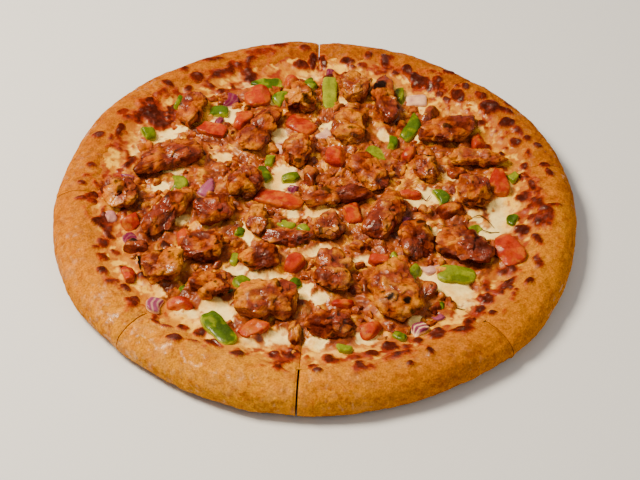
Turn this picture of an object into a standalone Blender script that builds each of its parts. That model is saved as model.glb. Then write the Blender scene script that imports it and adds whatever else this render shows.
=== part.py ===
"""A pan pizza, 30 cm (12 inches) across and cut in eight, for Blender 4.5.

Each slice is dough with a raised rim and a layer of melted cheese. Pieces of chicken,
tomato and green pepper lie on the cheese. The smaller pepper, onion, tomato and chicken
bits and the browned blisters of cheese are fused to the cheese that they lie on.
Metres, +Z up, the flat underside on z = 0 and the middle of the pizza on the origin.
"""
import math

import bpy
import numpy as np
from mathutils import Vector
from mathutils.bvhtree import BVHTree

MM = 0.001

# The whole pizza
PIZZA_RADIUS = 151.5 * MM
RIM_HEIGHT = 20.5 * MM          # mean height of the rim
RIM_TOP_RADIUS = 136 * MM       # where the rim is highest
WALL_HEIGHT = 8.5 * MM          # where the outer wall stands furthest out
BED_RADIUS = 108 * MM           # the flat bed ends and the rim starts to rise
BED_HEIGHT = 10 * MM            # dough under the cheese
GAP = 0.4 * MM                  # clearance between pieces that lie on each other
WALL_BULGE = 0.85               # powers that shape the outer wall: its reach, and its height
CREST_ROUND = 0.9               # above and below the widest point
FOOT_ROUND = 0.75

# The eight cuts: the angles where they reach the rim, and the point where they meet
CUT_ANGLES = (14, 50.5, 90, 139, 178, 225, 267, 316)
CUT_PRESS = (1.2, 0.8, 2.4, 0.8, 0.9, 1.0, 0.8, 1.6)     # mm that the rim is pressed down at a cut
CUT_REACH = 8 * MM              # how far from a cut the rim is pressed down
CUT_HUB = Vector((-1 * MM, 8 * MM))
CUT_WIDTH = 0.6 * MM
SLICE_SLIDE = (0.1, 0.4, 0.0, 0.3, 0.1, 0.5, 0.2, 0.0)   # mm that each slice has moved out
SLICE_COLUMNS = 8               # facets across a slice

# The cheese layer
CHEESE_DEPTH = 3.2 * MM
CHEESE_EDGE_DEPTH = 0.9 * MM
CHEESE_RADIUS = 130 * MM        # mean radius of its edge, on the inner side of the rim
CHEESE_EDGE_WIDTH = 1.2 * MM    # over which its edge thins to nothing

# Stations of the profile. The wall is read at angles from its top down to its foot.
RISE_STATIONS = (0, 0.2, 0.38, 0.55, 0.7, 0.84, 1)
WALL_STATIONS = (68, 48, 28, 8, -14, -38, -64, -90)
BED_STATIONS = (0.22, 0.42, 0.62, 0.82, 1)
SLOPE_STATIONS = (0.25, 0.5, 0.75, 1)

# Every topping is a rounded block: polar angles of its rings of points
BLOCK_RINGS = (27, 52, 78, 108, 138)
SLAB_RINGS = (38, 74, 112, 140)
BIT_RINGS = (44, 90)
BASE_SHARE = 0.45               # share of a block's height below its middle
BIT_BASE_SHARE = 0.1            # the same for a bit, whose widest ring is just under the cheese
BIT_SINK = 0.8 * MM             # how deep a bit sits in the cheese
LUMP_COUNT = 7                  # seeded lumps on every topping
LUMP_TIGHTNESS = 4              # higher for narrower lumps
WAIST_WIDTH = 0.35              # width of a long piece's waist, as a share of its length
LEAST_ROOM = 1.2 * MM           # a bit with less room than this beside its neighbours is left out
LEAST_SHARE = 0.2               # share of the way to a neighbour that a pressed piece always keeps

# Toppings on the cheese, each a separate piece.
# x, y, length, width in mm, turn in degrees, height in mm, depth of the waist
CHICKEN = (
    (-112, 2, 25, 22, 20, 13, 0), (-88, 34, 47, 21, 25, 12, 0.22), (-85, -11, 45, 19, 62, 12, 0.2),
    (-58, -10, 24, 22, 10, 12, 0), (-85, -56, 27, 22, -6, 14, 0), (-62, -40, 26, 21, 20, 12, 0),
    (-76, 77, 33, 16, 82, 10, 0.12), (-34, 61, 40, 20, 66, 11, 0.25), (-12, 43, 25, 18, 84, 11, 0),
    (-42, 12, 24, 22, 60, 14, 0), (-33, -18, 23, 15, 100, 10, 0), (-15, -30, 31, 13, 0, 9, 0.24),
    (-30, -47, 23, 16, 5, 11, 0), (13, 5, 40, 16, 12, 10, 0.24), (8, -23, 20, 18, 60, 12, 0),
    (10, -57, 34, 24, 85, 13, 0.22), (40, -11, 38, 22, 62, 12, 0.2), (31, 25, 35, 18, -58, 11, 0.2),
    (19, 66, 36, 23, 82, 11, 0.16), (-10, 88, 22, 20, 80, 14, 0), (22, 100, 22, 19, 88, 12, 0),
    (40, 90, 42, 17, -84, 12, 0.24), (65, 30, 24, 16, 95, 11, 0), (79, 62, 39, 23, 24, 12, 0.16),
    (92, 10, 25, 21, 85, 13, 0), (94, 39, 37, 15, 2, 10, 0.2), (57, -30, 31, 19, 98, 11, 0),
    (86, -36, 36, 26, -36, 12, 0.1), (-58, -70, 25, 16, -10, 10, 0), (-24, -82, 39, 28, 4, 15, 0.2),
    (10, -97, 30, 17, 0, 11, 0), (44, -70, 44, 29, 112, 15, 0.15),
)
TOMATO = (
    (-37, 94, 19, 16, 95, 6, 0), (-63, 61, 18, 12, -25, 6, 0), (-10, 68, 20, 14, -35, 5, 0),
    (11, 40, 15, 13, 80, 7, 0), (-22, 3, 31, 12, -14, 5, 0), (21, -8, 17, 13, 100, 6, 0),
    (-31, -98, 21, 11, 28, 6, 0), (107, 20, 22, 12, 95, 6, 0), (109, -37, 23, 16, -58, 5, 0),
)
PEPPER = ((7, 99, 32, 9, 90, 4, 0), (79, -55, 22, 13, -8, 4, 0), (-51, -101, 27, 12, -55, 5, 0))

# Small toppings, fused to the cheese: x, y, length, width, turn, height
BIT_CHICKEN = (
    (-101, -37, 15, 9, 0, 7), (-10, -100, 16, 7, 90, 6), (-4, 23, 18, 9, 84, 7), (68, 79, 18, 9, 68, 7),
    (78, -3, 17, 12, 20, 7), (26, -34, 13, 9, -20, 6), (63, -68, 13, 9, 70, 7),
)
BIT_TOMATO = (
    (-45, 74, 17, 11, 80, 6), (-104, -15, 14, 12, 30, 6), (-73, -27, 13, 11, 100, 5),
    (-11, -46, 15, 11, 60, 6), (-103, -59, 12, 8, 100, 5), (-73, -79, 15, 10, 5, 5), (16, -76, 13, 6, 0, 4),
    (31, -95, 14, 11, 40, 6), (96, 58, 17, 8, 100, 6), (55, 47, 12, 9, 60, 5), (54, 13, 15, 9, 0, 5),
    (37, -43, 14, 9, -10, 6), (-17, 110, 11, 9, 60, 5),
)
BIT_PEPPER = (
    (-32, 109, 21, 10, 8, 3.5), (57, 72, 28, 9, 68, 4.5), (34, 48, 14, 11, 10, 4), (-32, 27, 17, 11, 70, 4),
    (-28, 41, 12, 6, 80, 4), (-61, 83, 14, 9, 0, 4), (-80, 19, 13, 9, 90, 4), (90, -15, 11, 9, 60, 4),
    (-83, 87, 10, 7, 70, 4), (-101, 60, 9, 9, 20, 4), (-22, 97, 13, 9, 45, 4), (-4, 110, 11, 7, -60, 4),
    (50, 100, 15, 7, 90, 4), (-15, 25, 11, 8, 20, 4), (45, 58, 12, 6, 80, 4), (73, 11, 14, 7, -70, 4),
    (114, 28, 9, 7, 20, 3), (113, -7, 10, 7, 80, 3), (63, -13, 8, 5, 0, 3), (-17, -12, 12, 7, -30, 3),
    (-7, -17, 8, 8, 20, 3.5), (-43, -20, 8, 6, 80, 3), (-45, -42, 9, 5, 80, 3), (46, -39, 10, 6, 85, 4),
    (55, -50, 11, 8, 40, 4), (-10, -61, 9, 8, 60, 4), (-40, -60, 10, 9, 50, 4), (-47, -67, 10, 6, -20, 3),
    (-72, -67, 8, 6, 60, 3), (17, -108, 10, 6, -10, 3), (47, -98, 9, 6, -30, 3), (71, -75, 6, 5, 20, 3),
)
BIT_ONION = (
    (-53, 93, 12, 8, 70, 4), (-59, 74, 8, 5, 60, 3), (-63, 15, 16, 10, 60, 4), (-111, 23, 10, 5, -20, 3),
    (-105, -28, 9, 8, 45, 4), (7, 117, 11, 8, 70, 3.5), (-13, 16, 8, 6, 60, 4), (-21, 52, 14, 7, 100, 3),
    (5, 65, 13, 8, 50, 3), (-87, -80, 13, 8, 80, 3), (-117, -11, 10, 7, 100, 3), (7, -83, 9, 5, 0, 3),
    (58, -93, 10, 8, 30, 4), (69, -83, 8, 6, 40, 3), (52, -8, 10, 5, 80, 3), (60, 97, 13, 11, 0, 3),
    (66, -48, 12, 6, 10, 3),
)

# Browned blisters round the cheese's edge
BLISTER_COUNT = 40
BLISTER_HEIGHT = 1.2 * MM
BLISTER_SINK = 0.5 * MM

CUT_TOPPINGS = (19, 30)         # places in the chicken list of the two chunks that end at a cut

# How much each kind gives way where two pieces press on each other, and its corner sharpness
SOFTNESS = {"chicken": 1.0, "tomato": 2.0, "pepper": 2.0, "bit": 4.0}
ROUNDNESS = {"chicken": 2.7, "tomato": 3.4, "pepper": 3.6, "bit": 3.2}
LUMPINESS = {"chicken": 0.13, "tomato": 0.06, "pepper": 0.05, "bit": 0.06}

# Colour and roughness of each material
FINISH = {
    "dough": ((0.78, 0.43, 0.13, 1), 0.55),
    "cheese": ((0.93, 0.80, 0.55, 1), 0.35),
    "chicken": ((0.52, 0.20, 0.06, 1), 0.35),
    "tomato": ((0.72, 0.19, 0.08, 1), 0.3),
    "pepper": ((0.33, 0.45, 0.06, 1), 0.3),
}


def smooth(low, high, value):
    """0 below low, 1 above high, and a smooth step between."""
    share = np.clip((np.asarray(value, float) - low) / (high - low), 0, 1)
    return share * share * (3 - 2 * share)


def outline_radius(theta):
    """The plan outline: a circle with slow waves, the same at opposite points."""
    waves = 0.7 * np.cos(2 * theta) + 0.8 * np.cos(6 * theta - 2.4) + 0.3 * np.cos(10 * theta)
    return PIZZA_RADIUS + waves * MM


def rim_height(theta):
    """The rim's crest: slow waves, lower where a cut has pressed it down."""
    waves = 0.7 * np.sin(3 * theta + 1.0) + 0.5 * np.sin(7 * theta + 2.3) + 0.35 * np.sin(12 * theta + 0.4)
    height = RIM_HEIGHT + waves * MM
    for angle, press in zip(CUT_ANGLES, CUT_PRESS):
        turn = (theta - math.radians(angle) + math.pi) % (2 * math.pi) - math.pi
        height = height - press * MM * np.exp(-(turn * PIZZA_RADIUS / CUT_REACH) ** 2)
    return height


def dough_top(rho, theta):
    """Height of the dough between the middle and the rim's crest."""
    return BED_HEIGHT + (rim_height(theta) - BED_HEIGHT) * smooth(BED_RADIUS, RIM_TOP_RADIUS, rho)


def dough_facet(rho, theta):
    """The same height read along the straight facets between the stations."""
    stations = BED_RADIUS + np.array(RISE_STATIONS) * (RIM_TOP_RADIUS - BED_RADIUS)
    rise = np.interp(rho, stations, smooth(BED_RADIUS, RIM_TOP_RADIUS, stations))
    return BED_HEIGHT + (rim_height(theta) - BED_HEIGHT) * rise


def cheese_edge(theta):
    """Radius of the cheese's wavy edge."""
    waves = 2.2 * np.sin(theta) + 1.1 * np.sin(9 * theta + 1.2) + 0.8 * np.sin(17 * theta + 3)
    return CHEESE_RADIUS + waves * MM


def cheese_top(rho, theta):
    """Height of the cheese: a layer on the dough, thinner up the rim, with slow waves."""
    depth = CHEESE_DEPTH + (CHEESE_EDGE_DEPTH - CHEESE_DEPTH) * smooth(BED_RADIUS, CHEESE_RADIUS, rho)
    x, y = rho * np.cos(theta), rho * np.sin(theta)
    waves = 0.3 * np.sin(95 * x + 1.0) + 0.3 * np.sin(110 * y + 0.5) + 0.25 * np.sin(80 * (x + y))
    calm = 1 - smooth(0.8 * BED_RADIUS, BED_RADIUS, rho)
    return dough_facet(rho, theta) + GAP + depth + waves * calm * MM


def cheese_height(x, y):
    """Height of the cheese at a point of the plan."""
    return cheese_top(np.hypot(x, y), np.arctan2(y, x))


class Slice:
    """One of the eight wedges: the rays from its tip, which keep half a cut clear of its neighbours."""

    def __init__(self, number):
        self.number = number
        following = (number + 1) % len(CUT_ANGLES)
        self.start = self.cut_direction(CUT_ANGLES[number])
        self.end = self.cut_direction(CUT_ANGLES[following])
        if self.end < self.start:
            self.end += 2 * math.pi
        half = (self.end - self.start) / 2
        middle = self.start + half
        self.along = Vector((math.cos(middle), math.sin(middle)))
        self.tip = CUT_HUB + self.along * (CUT_WIDTH / 2 / math.sin(half))
        self.slide = self.along * SLICE_SLIDE[number] * MM

    @staticmethod
    def cut_direction(angle):
        """Direction from the hub to the point where a cut reaches the rim."""
        turn = math.radians(angle)
        reach = Vector((math.cos(turn), math.sin(turn))) * PIZZA_RADIUS - CUT_HUB
        return math.atan2(reach.y, reach.x)

    def rays(self):
        return self.start + (self.end - self.start) * np.linspace(0, 1, SLICE_COLUMNS + 1)

    def ring(self, rho):
        """Points where the rays meet a circle of radius rho (one value or one for each ray).

        The circle takes on the plan outline's waves towards the rim.
        """
        directions = np.stack([np.cos(self.rays()), np.sin(self.rays())], axis=1)
        tip = np.array(self.tip)
        along = directions @ tip
        reach = -along + np.sqrt(along ** 2 + np.square(rho) - tip @ tip)
        points = tip + directions * reach[:, None]
        theta = np.arctan2(points[:, 1], points[:, 0])
        share = smooth(0.6 * PIZZA_RADIUS, PIZZA_RADIUS, rho)
        points = points * (1 + (outline_radius(theta) / PIZZA_RADIUS - 1) * share)[:, None]
        return points, theta

    def planes(self, inset):
        """The two cut faces as (outward normal, offset) in the plane, moved in by inset."""
        foot = self.tip + self.slide
        faces = []
        for turn, side in ((self.start, -1), (self.end, 1)):
            normal = np.array((-math.sin(turn) * side, math.cos(turn) * side, 0))
            faces.append((normal, normal[:2] @ np.array(foot) - inset))
        return faces

    def holds(self, x, y):
        point = np.array((x, y, 0))
        return all(normal @ point < offset for normal, offset in self.planes(0))


SLICES = [Slice(number) for number in range(len(CUT_ANGLES))]


def wedge_mesh(wedge, rows, tip_top, tip_bottom):
    """A closed wedge: rows run from the tip out along the top, down the side and back below."""
    slide = np.array((wedge.slide.x, wedge.slide.y, 0))
    tip = np.array((wedge.tip.x, wedge.tip.y, 0))
    points = [tip + slide + (0, 0, tip_top), tip + slide + (0, 0, tip_bottom)]
    for row in rows:
        points.extend(row + slide)
    columns = SLICE_COLUMNS + 1
    faces = []
    last = len(rows) - 1

    def corner(row, column):
        return 2 + row * columns + column

    for column in range(SLICE_COLUMNS):
        faces.append((0, corner(0, column), corner(0, column + 1)))
        faces.append((1, corner(last, column + 1), corner(last, column)))
        for row in range(last):
            faces.append((corner(row, column), corner(row + 1, column),
                          corner(row + 1, column + 1), corner(row, column + 1)))
    start_face = [0, 1] + [corner(row, 0) for row in range(last, -1, -1)]
    end_face = [1, 0] + [corner(row, SLICE_COLUMNS) for row in range(last + 1)]
    return points, faces + [tuple(start_face), tuple(end_face)]


def dough_mesh(wedge):
    """A dough slice: bed, rising rim, bulging wall and flat underside."""
    rows = []
    for station in RISE_STATIONS:
        rho = BED_RADIUS + station * (RIM_TOP_RADIUS - BED_RADIUS)
        points, theta = wedge.ring(rho)
        rows.append(np.column_stack([points, dough_top(rho, theta)]))
    for angle in WALL_STATIONS:
        turn = math.radians(angle)
        out = math.cos(turn) ** WALL_BULGE
        rho = RIM_TOP_RADIUS + (PIZZA_RADIUS - RIM_TOP_RADIUS) * out
        points, theta = wedge.ring(rho)
        if angle > 0:
            height = WALL_HEIGHT + (rim_height(theta) - WALL_HEIGHT) * math.sin(turn) ** CREST_ROUND
        else:
            height = np.full_like(theta, WALL_HEIGHT * (1 - math.sin(-turn) ** FOOT_ROUND))
        rows.append(np.column_stack([points, height]))
    return wedge_mesh(wedge, rows, BED_HEIGHT, 0)


def cheese_mesh(wedge):
    """A cheese slice: wavy top, thin edge on the rim, and an underside that follows the dough."""
    rows = []
    for station in BED_STATIONS:
        rho = station * BED_RADIUS
        points, theta = wedge.ring(rho)
        rows.append(np.column_stack([points, cheese_top(rho, theta)]))
    edge = cheese_edge(wedge.ring(CHEESE_RADIUS)[1])
    for station in SLOPE_STATIONS:
        rho = BED_RADIUS + (edge - CHEESE_EDGE_WIDTH - BED_RADIUS) * station
        points, theta = wedge.ring(rho)
        rows.append(np.column_stack([points, cheese_top(rho, theta)]))
    stations = BED_RADIUS + np.array(RISE_STATIONS) * (RIM_TOP_RADIUS - BED_RADIUS)
    for step, station in enumerate([RIM_TOP_RADIUS, *stations[5::-1]]):
        rho = np.minimum(station, edge - step * CHEESE_EDGE_WIDTH)
        points, theta = wedge.ring(rho)
        rows.append(np.column_stack([points, dough_facet(rho, theta) + GAP]))
    tip_rho, tip_theta = wedge.tip.length, math.atan2(wedge.tip.y, wedge.tip.x)
    return wedge_mesh(wedge, rows, float(cheese_top(tip_rho, tip_theta)), BED_HEIGHT + GAP)


def block_directions(sides, rings):
    """Unit directions of a globe's points with its two poles, and the faces between them."""
    directions = [(0, 0, 1)]
    for number, polar in enumerate(np.radians(rings)):
        for side in range(sides):
            turn = 2 * math.pi * (side + 0.5 * (number % 2)) / sides
            directions.append((math.sin(polar) * math.cos(turn), math.sin(polar) * math.sin(turn),
                               math.cos(polar)))
    directions.append((0, 0, -1))
    faces = []
    bottom = len(directions) - 1
    for side in range(sides):
        following = (side + 1) % sides
        faces.append((0, 1 + side, 1 + following))
        low = 1 + (len(rings) - 1) * sides
        faces.append((bottom, low + following, low + side))
        for number in range(len(rings) - 1):
            upper, lower = 1 + number * sides, 1 + (number + 1) * sides
            if number % 2 == 0:
                faces.append((upper + side, lower + side, upper + following))
                faces.append((upper + following, lower + side, lower + following))
            else:
                faces.append((upper + side, lower + following, upper + following))
                faces.append((upper + side, lower + side, lower + following))
    return np.array(directions, float), faces


class Topping:
    """A rounded block with seeded lumps, set on the surface below it and pressed by its neighbours."""

    def __init__(self, name, kind, place, sides, rings, seed, sink=0.0):
        self.name, self.kind = name, kind
        x, y, length, width, turn, height = place[:6]
        height += sink / MM
        self.sink = sink
        self.base_share = BIT_BASE_SHARE if sink else BASE_SHARE
        self.waist = place[6] if len(place) > 6 else 0
        self.middle = np.array((x, y, 0)) * MM
        self.half = np.array((length / 2, width / 2, height * (1 - self.base_share))) * MM
        self.height = height * MM
        self.turn = math.radians(turn)
        self.directions, self.faces = block_directions(sides, rings)
        self.seed = seed
        self.planes = []

    def shape(self):
        """Points about the middle: a superellipsoid with lumps, narrower at its waist.

        A bit follows the cheese's slope, and a larger piece stays level.
        """
        draw = np.random.default_rng(self.seed)
        power = ROUNDNESS[self.kind]
        reach = np.sum(np.abs(self.directions) ** power, axis=1) ** (-1 / power)
        lumps = draw.normal(size=(LUMP_COUNT, 3))
        lumps /= np.linalg.norm(lumps, axis=1)[:, None]
        sizes = draw.uniform(-1, 1, LUMP_COUNT) * LUMPINESS[self.kind]
        nearness = self.directions @ lumps.T
        reach = reach * (1 + (np.exp(LUMP_TIGHTNESS * (nearness - 1)) * sizes).sum(axis=1))
        reach = reach * (1 - self.waist * np.exp(-(self.directions[:, 0] / WAIST_WIDTH) ** 2))
        points = self.directions * reach[:, None] * self.half
        points[:, 2] = np.maximum(points[:, 2], -self.base_share * self.height)
        cosine, sine = math.cos(self.turn), math.sin(self.turn)
        x = points[:, 0] * cosine - points[:, 1] * sine
        y = points[:, 0] * sine + points[:, 1] * cosine
        lift = cheese_height(x + self.middle[0], y + self.middle[1]) - cheese_height(*self.middle[:2])
        return np.column_stack([x, y, points[:, 2] + (lift if self.sink else 0)])

    def embed(self):
        """Set a bit's middle just under the cheese."""
        self.middle[2] = cheese_height(*self.middle[:2]) - self.sink + self.height * self.base_share

    def settle(self, ground):
        """Rest on the plane that best fits the surface below, raised to clear all of it."""
        spots = [(0.0, 0.0)]
        for share in (0.3, 0.6, 0.85):
            for step in range(12):
                turn = 2 * math.pi * step / 12
                along, across = math.cos(turn) * share * self.half[0], math.sin(turn) * share * self.half[1]
                spots.append((along * math.cos(self.turn) - across * math.sin(self.turn),
                              along * math.sin(self.turn) + across * math.cos(self.turn)))
        spots = np.array(spots)
        heights = np.array([ground(self.middle[0] + x, self.middle[1] + y) for x, y in spots])
        spots, heights = spots[heights > BED_HEIGHT], heights[heights > BED_HEIGHT]
        slope = np.linalg.lstsq(np.column_stack([spots, np.ones(len(spots))]), heights, rcond=None)[0]
        excess = heights - spots @ slope[:2] - slope[2]
        base = slope[2] + excess.max() + GAP
        self.middle[2] = base + self.height * self.base_share
        normal = np.array((slope[0], slope[1], -1.0))
        normal /= np.linalg.norm(normal)
        foot = np.array((self.middle[0], self.middle[1], base))
        self.planes.append((normal, normal @ foot))

    def room(self):
        """The least distance from the middle to a plane beside it."""
        return min((offset - normal @ self.middle for normal, offset in self.planes), default=PIZZA_RADIUS)

    def points(self):
        """The shape in its place, every point pulled towards the middle until it clears each plane."""
        points = self.shape()
        for normal, offset in self.planes:
            room = offset - normal @ self.middle
            out = points @ normal
            pull = room / np.maximum(out, room)
            points = points * pull[:, None]
        return points + self.middle


def part_neighbours(first, second):
    """Where two toppings meet, give each its own side of a plane between them."""
    apart = second.middle - first.middle
    distance = np.linalg.norm(apart)
    normal = apart / distance
    reach_first = (first.shape() @ normal).max()
    reach_second = (second.shape() @ -normal).max()
    excess = reach_first + reach_second + GAP - distance
    if excess <= 0:
        return
    give = SOFTNESS[first.kind] / (SOFTNESS[first.kind] + SOFTNESS[second.kind])
    free = distance - GAP
    stay_first = np.clip(reach_first - excess * give, LEAST_SHARE * free, (1 - LEAST_SHARE) * free)
    stay_second = free - stay_first
    first.planes.append((normal, normal @ first.middle + stay_first))
    second.planes.append((-normal, -normal @ second.middle + stay_second))


def blister_places():
    """Blisters in a ring on the inner side of the rim, at seeded angles, sizes and radii."""
    draw = np.random.default_rng(11)
    places = []
    for number in range(BLISTER_COUNT):
        theta = 2 * math.pi * (number + draw.uniform(-0.3, 0.3)) / BLISTER_COUNT
        length, width = draw.uniform(6, 10), draw.uniform(4, 6)
        edge = float(cheese_edge(theta)) / MM
        rho = edge - 2 - length / 2 - draw.uniform(0, 8)
        places.append((rho * math.cos(theta), rho * math.sin(theta), length, width,
                       math.degrees(theta) + draw.uniform(-40, 40), BLISTER_HEIGHT / MM))
    return places


def make_material(name):
    colour, roughness = FINISH[name]
    material = bpy.data.materials.new(name)
    material.use_nodes = True
    shader = material.node_tree.nodes["Principled BSDF"]
    shader.inputs["Base Color"].default_value = colour
    shader.inputs["Roughness"].default_value = roughness
    material.diffuse_color = colour
    return material


def make_object(name, points, faces, material):
    mesh = bpy.data.meshes.new(name)
    mesh.from_pydata([tuple(map(float, point)) for point in points], [], faces)
    mesh.materials.append(material)
    mesh.shade_smooth()
    mesh.set_sharp_from_angle(angle=math.radians(50))
    made = bpy.data.objects.new(name, mesh)
    bpy.context.scene.collection.objects.link(made)
    return made


def fuse(carrier, bits, material):
    """Join the bits to the carrier with one Boolean union, applied, and remove the bits."""
    group = bpy.data.collections.new("bits")
    bpy.context.scene.collection.children.link(group)
    for number, bit in enumerate(bits):
        made = make_object(f"bit_{number}", bit.points(), bit.faces, material)
        bpy.context.scene.collection.objects.unlink(made)
        group.objects.link(made)
    union = carrier.modifiers.new("bits", "BOOLEAN")
    union.operation = "UNION"
    union.operand_type = "COLLECTION"
    union.collection = group
    union.solver = "EXACT"
    depsgraph = bpy.context.evaluated_depsgraph_get()
    joined = bpy.data.meshes.new_from_object(carrier.evaluated_get(depsgraph))
    carrier.modifiers.clear()
    carrier.data = joined
    for made in list(group.objects):
        bpy.data.objects.remove(made, do_unlink=True)
    bpy.data.collections.remove(group)


def surface_below(meshes):
    """A function that reads the height of the bare slices at a point, 0 over a cut."""
    points, faces = [], []
    for mesh_points, mesh_faces in meshes:
        start = len(points)
        points.extend(Vector(point) for point in mesh_points)
        faces.extend(tuple(start + corner for corner in face) for face in mesh_faces)
    tree = BVHTree.FromPolygons(points, faces)

    def height(x, y):
        hit = tree.ray_cast(Vector((x, y, 1)), Vector((0, 0, -1)))[0]
        return hit.z if hit else 0.0

    return height


def make_toppings():
    """The separate toppings and the bits, before they are set down."""
    pieces, bits = [], []
    for number, place in enumerate(CHICKEN):
        sides = 12 if place[6] else 10
        pieces.append(Topping(f"chicken_{number + 1}", "chicken", place, sides, BLOCK_RINGS, 100 + number))
    for number, place in enumerate(TOMATO):
        pieces.append(Topping(f"tomato_{number + 1}", "tomato", place, 9, SLAB_RINGS, 200 + number))
    for number, place in enumerate(PEPPER):
        pieces.append(Topping(f"pepper_{number + 1}", "pepper", place, 12, SLAB_RINGS, 300 + number))
    for number, place in enumerate(BIT_CHICKEN + BIT_TOMATO):
        bits.append(Topping("bit", "bit", place, 7, BIT_RINGS, 400 + number, BIT_SINK))
    for number, place in enumerate(BIT_PEPPER + BIT_ONION):
        bits.append(Topping("bit", "bit", place, 5, BIT_RINGS, 500 + number, BIT_SINK))
    for number, place in enumerate(blister_places()):
        bits.append(Topping("blister", "bit", place, 5, BIT_RINGS, 600 + number, BLISTER_SINK))
    return pieces, bits


def cut_toppings(pieces):
    """Two chunks lie against a cut and end at it in a straight face."""
    for number in CUT_TOPPINGS:
        piece = pieces[number]
        x, y = piece.middle[:2]
        for wedge in SLICES:
            if wedge.holds(x, y):
                piece.planes.extend(wedge.planes(0))


def build():
    for made in list(bpy.data.objects):
        bpy.data.objects.remove(made, do_unlink=True)
    materials = {name: make_material(name) for name in FINISH}
    doughs = [dough_mesh(wedge) for wedge in SLICES]
    cheeses = [cheese_mesh(wedge) for wedge in SLICES]
    ground = surface_below(doughs + cheeses)
    pieces, bits = make_toppings()
    for piece in pieces:
        piece.settle(ground)
    for bit in bits:
        bit.embed()
    cut_toppings(pieces)
    for number, piece in enumerate(pieces):
        for other in pieces[number + 1:] + bits:
            part_neighbours(piece, other)
    for number, wedge in enumerate(SLICES):
        make_object(f"dough_slice_{number + 1}", *doughs[number], materials["dough"])
        cheese = make_object(f"cheese_slice_{number + 1}", *cheeses[number], materials["cheese"])
        own = [bit for bit in bits if wedge.holds(*bit.middle[:2])]
        for bit in own:
            bit.planes.extend(wedge.planes(GAP))
        fuse(cheese, [bit for bit in own if bit.room() > LEAST_ROOM], materials["cheese"])
    for piece in pieces:
        make_object(piece.name, piece.points(), piece.faces, materials[piece.kind])


build()
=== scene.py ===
import math
import bpy
import numpy as np
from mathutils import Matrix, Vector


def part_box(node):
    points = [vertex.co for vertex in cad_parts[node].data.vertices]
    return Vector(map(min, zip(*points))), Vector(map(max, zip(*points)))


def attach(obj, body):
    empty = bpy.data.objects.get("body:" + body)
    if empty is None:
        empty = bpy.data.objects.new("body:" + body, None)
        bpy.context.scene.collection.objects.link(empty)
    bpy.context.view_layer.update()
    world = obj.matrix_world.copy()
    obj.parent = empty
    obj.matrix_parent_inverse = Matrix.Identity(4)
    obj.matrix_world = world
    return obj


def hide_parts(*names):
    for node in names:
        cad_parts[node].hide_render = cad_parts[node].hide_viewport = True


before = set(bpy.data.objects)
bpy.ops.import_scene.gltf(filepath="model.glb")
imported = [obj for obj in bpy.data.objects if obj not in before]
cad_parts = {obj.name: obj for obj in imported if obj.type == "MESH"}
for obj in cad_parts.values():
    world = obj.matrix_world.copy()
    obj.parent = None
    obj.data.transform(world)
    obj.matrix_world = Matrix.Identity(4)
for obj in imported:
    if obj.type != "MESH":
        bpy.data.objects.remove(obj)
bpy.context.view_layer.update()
print("pan pizza: frame loaded,", len(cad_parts), "nodes")

mm = 0.001  # the formulas below are in millimetres, and makePiece turns them into metres

# the form that the solids have; a wave is a depth, a count round the middle and a phase, and a wave
# on the bed is a depth, its radians per mm along x and y, and a phase
pizza = {
    "radius": 151.5, "rimHeight": 20.5, "rimTop": 136.0, "wallHeight": 8.5,
    "wallBulge": 0.85, "crestRound": 0.9, "footRound": 0.75,
    "bedRadius": 108.0, "bedHeight": 10.0,
    "cheeseDepth": 3.6, "cheeseThinning": 2.5, "cheeseEdge": 130.0,
    "outlineWaves": ((0.7, 2, 0.0), (0.8, 6, -2.4), (0.3, 10, 0.0)),
    "rimWaves": ((0.7, 3, 1.0), (0.5, 7, 2.3), (0.35, 12, 0.4)),
    "edgeWaves": ((2.2, 1, 0.0), (1.1, 9, 1.2), (0.8, 17, 3.0)),
    "bedWaves": ((0.3, 0.095, 0.0, 1.0), (0.3, 0.0, 0.11, 0.5), (0.25, 0.08, 0.08, 0.0)),
    "cutAngles": (14, 50.5, 90, 139, 178, 225, 267, 316),
    "cutPress": (1.2, 0.8, 2.4, 0.8, 0.9, 1.0, 0.8, 1.6), "cutReach": 8.0,
    "hub": (-1.0, 8.0),
    "slide": (0.1, 0.4, 0.0, 0.3, 0.1, 0.5, 0.2, 0.0),
}

# how wide and how deep each cut shows in the crust and in the cheese
cuts = {
    "gap": (0.3, 0.2, 0.35, 0.2, 0.25, 0.6, 0.9, 0.7),
    "crease": (0.5, 0.3, 0.9, 0.3, 0.9, 0.5, 0.8, 0.9),
    "cheeseGap": (0.12, 0.12, 0.12, 0.12, 0.12, 0.12, 0.35, 0.12),
    "cheeseCrease": (0.25, 0.25, 0.25, 0.25, 0.25, 0.25, 0.7, 0.25), "cheeseStart": 98.0,
    "creaseWidth": 1.4, "creaseFoot": (1, 6), "calmRadius": 14.0, "crowding": 0.7, "sharpAngle": 60,
}


def smooth(low, high, value):
    # 0 at low, 1 at high, eased between: 3t^2 - 2t^3
    share = np.clip((np.asarray(value, float) - low) / (high - low), 0, 1)
    return share * share * (3 - 2 * share)


def tint(red, green, blue):
    # a screen colour as the values that a shader takes, deepened because the tone curve pales bright colours
    share = np.array((red, green, blue)) / 255
    share = np.where(share <= 0.04045, share / 12.92, ((share + 0.055) / 1.055) ** 2.4)
    middle, top = np.sort(share)[1:]
    deep = np.maximum(share - np.clip(1.1 * middle ** 2 - 0.03, 0, 1) * (top - share), 0.25 * share)
    return deep * (0.5 + 0.5 * smooth(0.3, 0.7, middle))


def bell(value, centre, width):
    # 1 at the centre, and falling off to both sides as exp(-t^2)
    return np.exp(-((value - centre) / width) ** 2)


def mixIn(colours, other, amount):
    # the colours moved towards the other by an amount between 0 and 1
    return colours + (other - colours) * np.clip(amount, 0, 1)[..., None]


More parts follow.
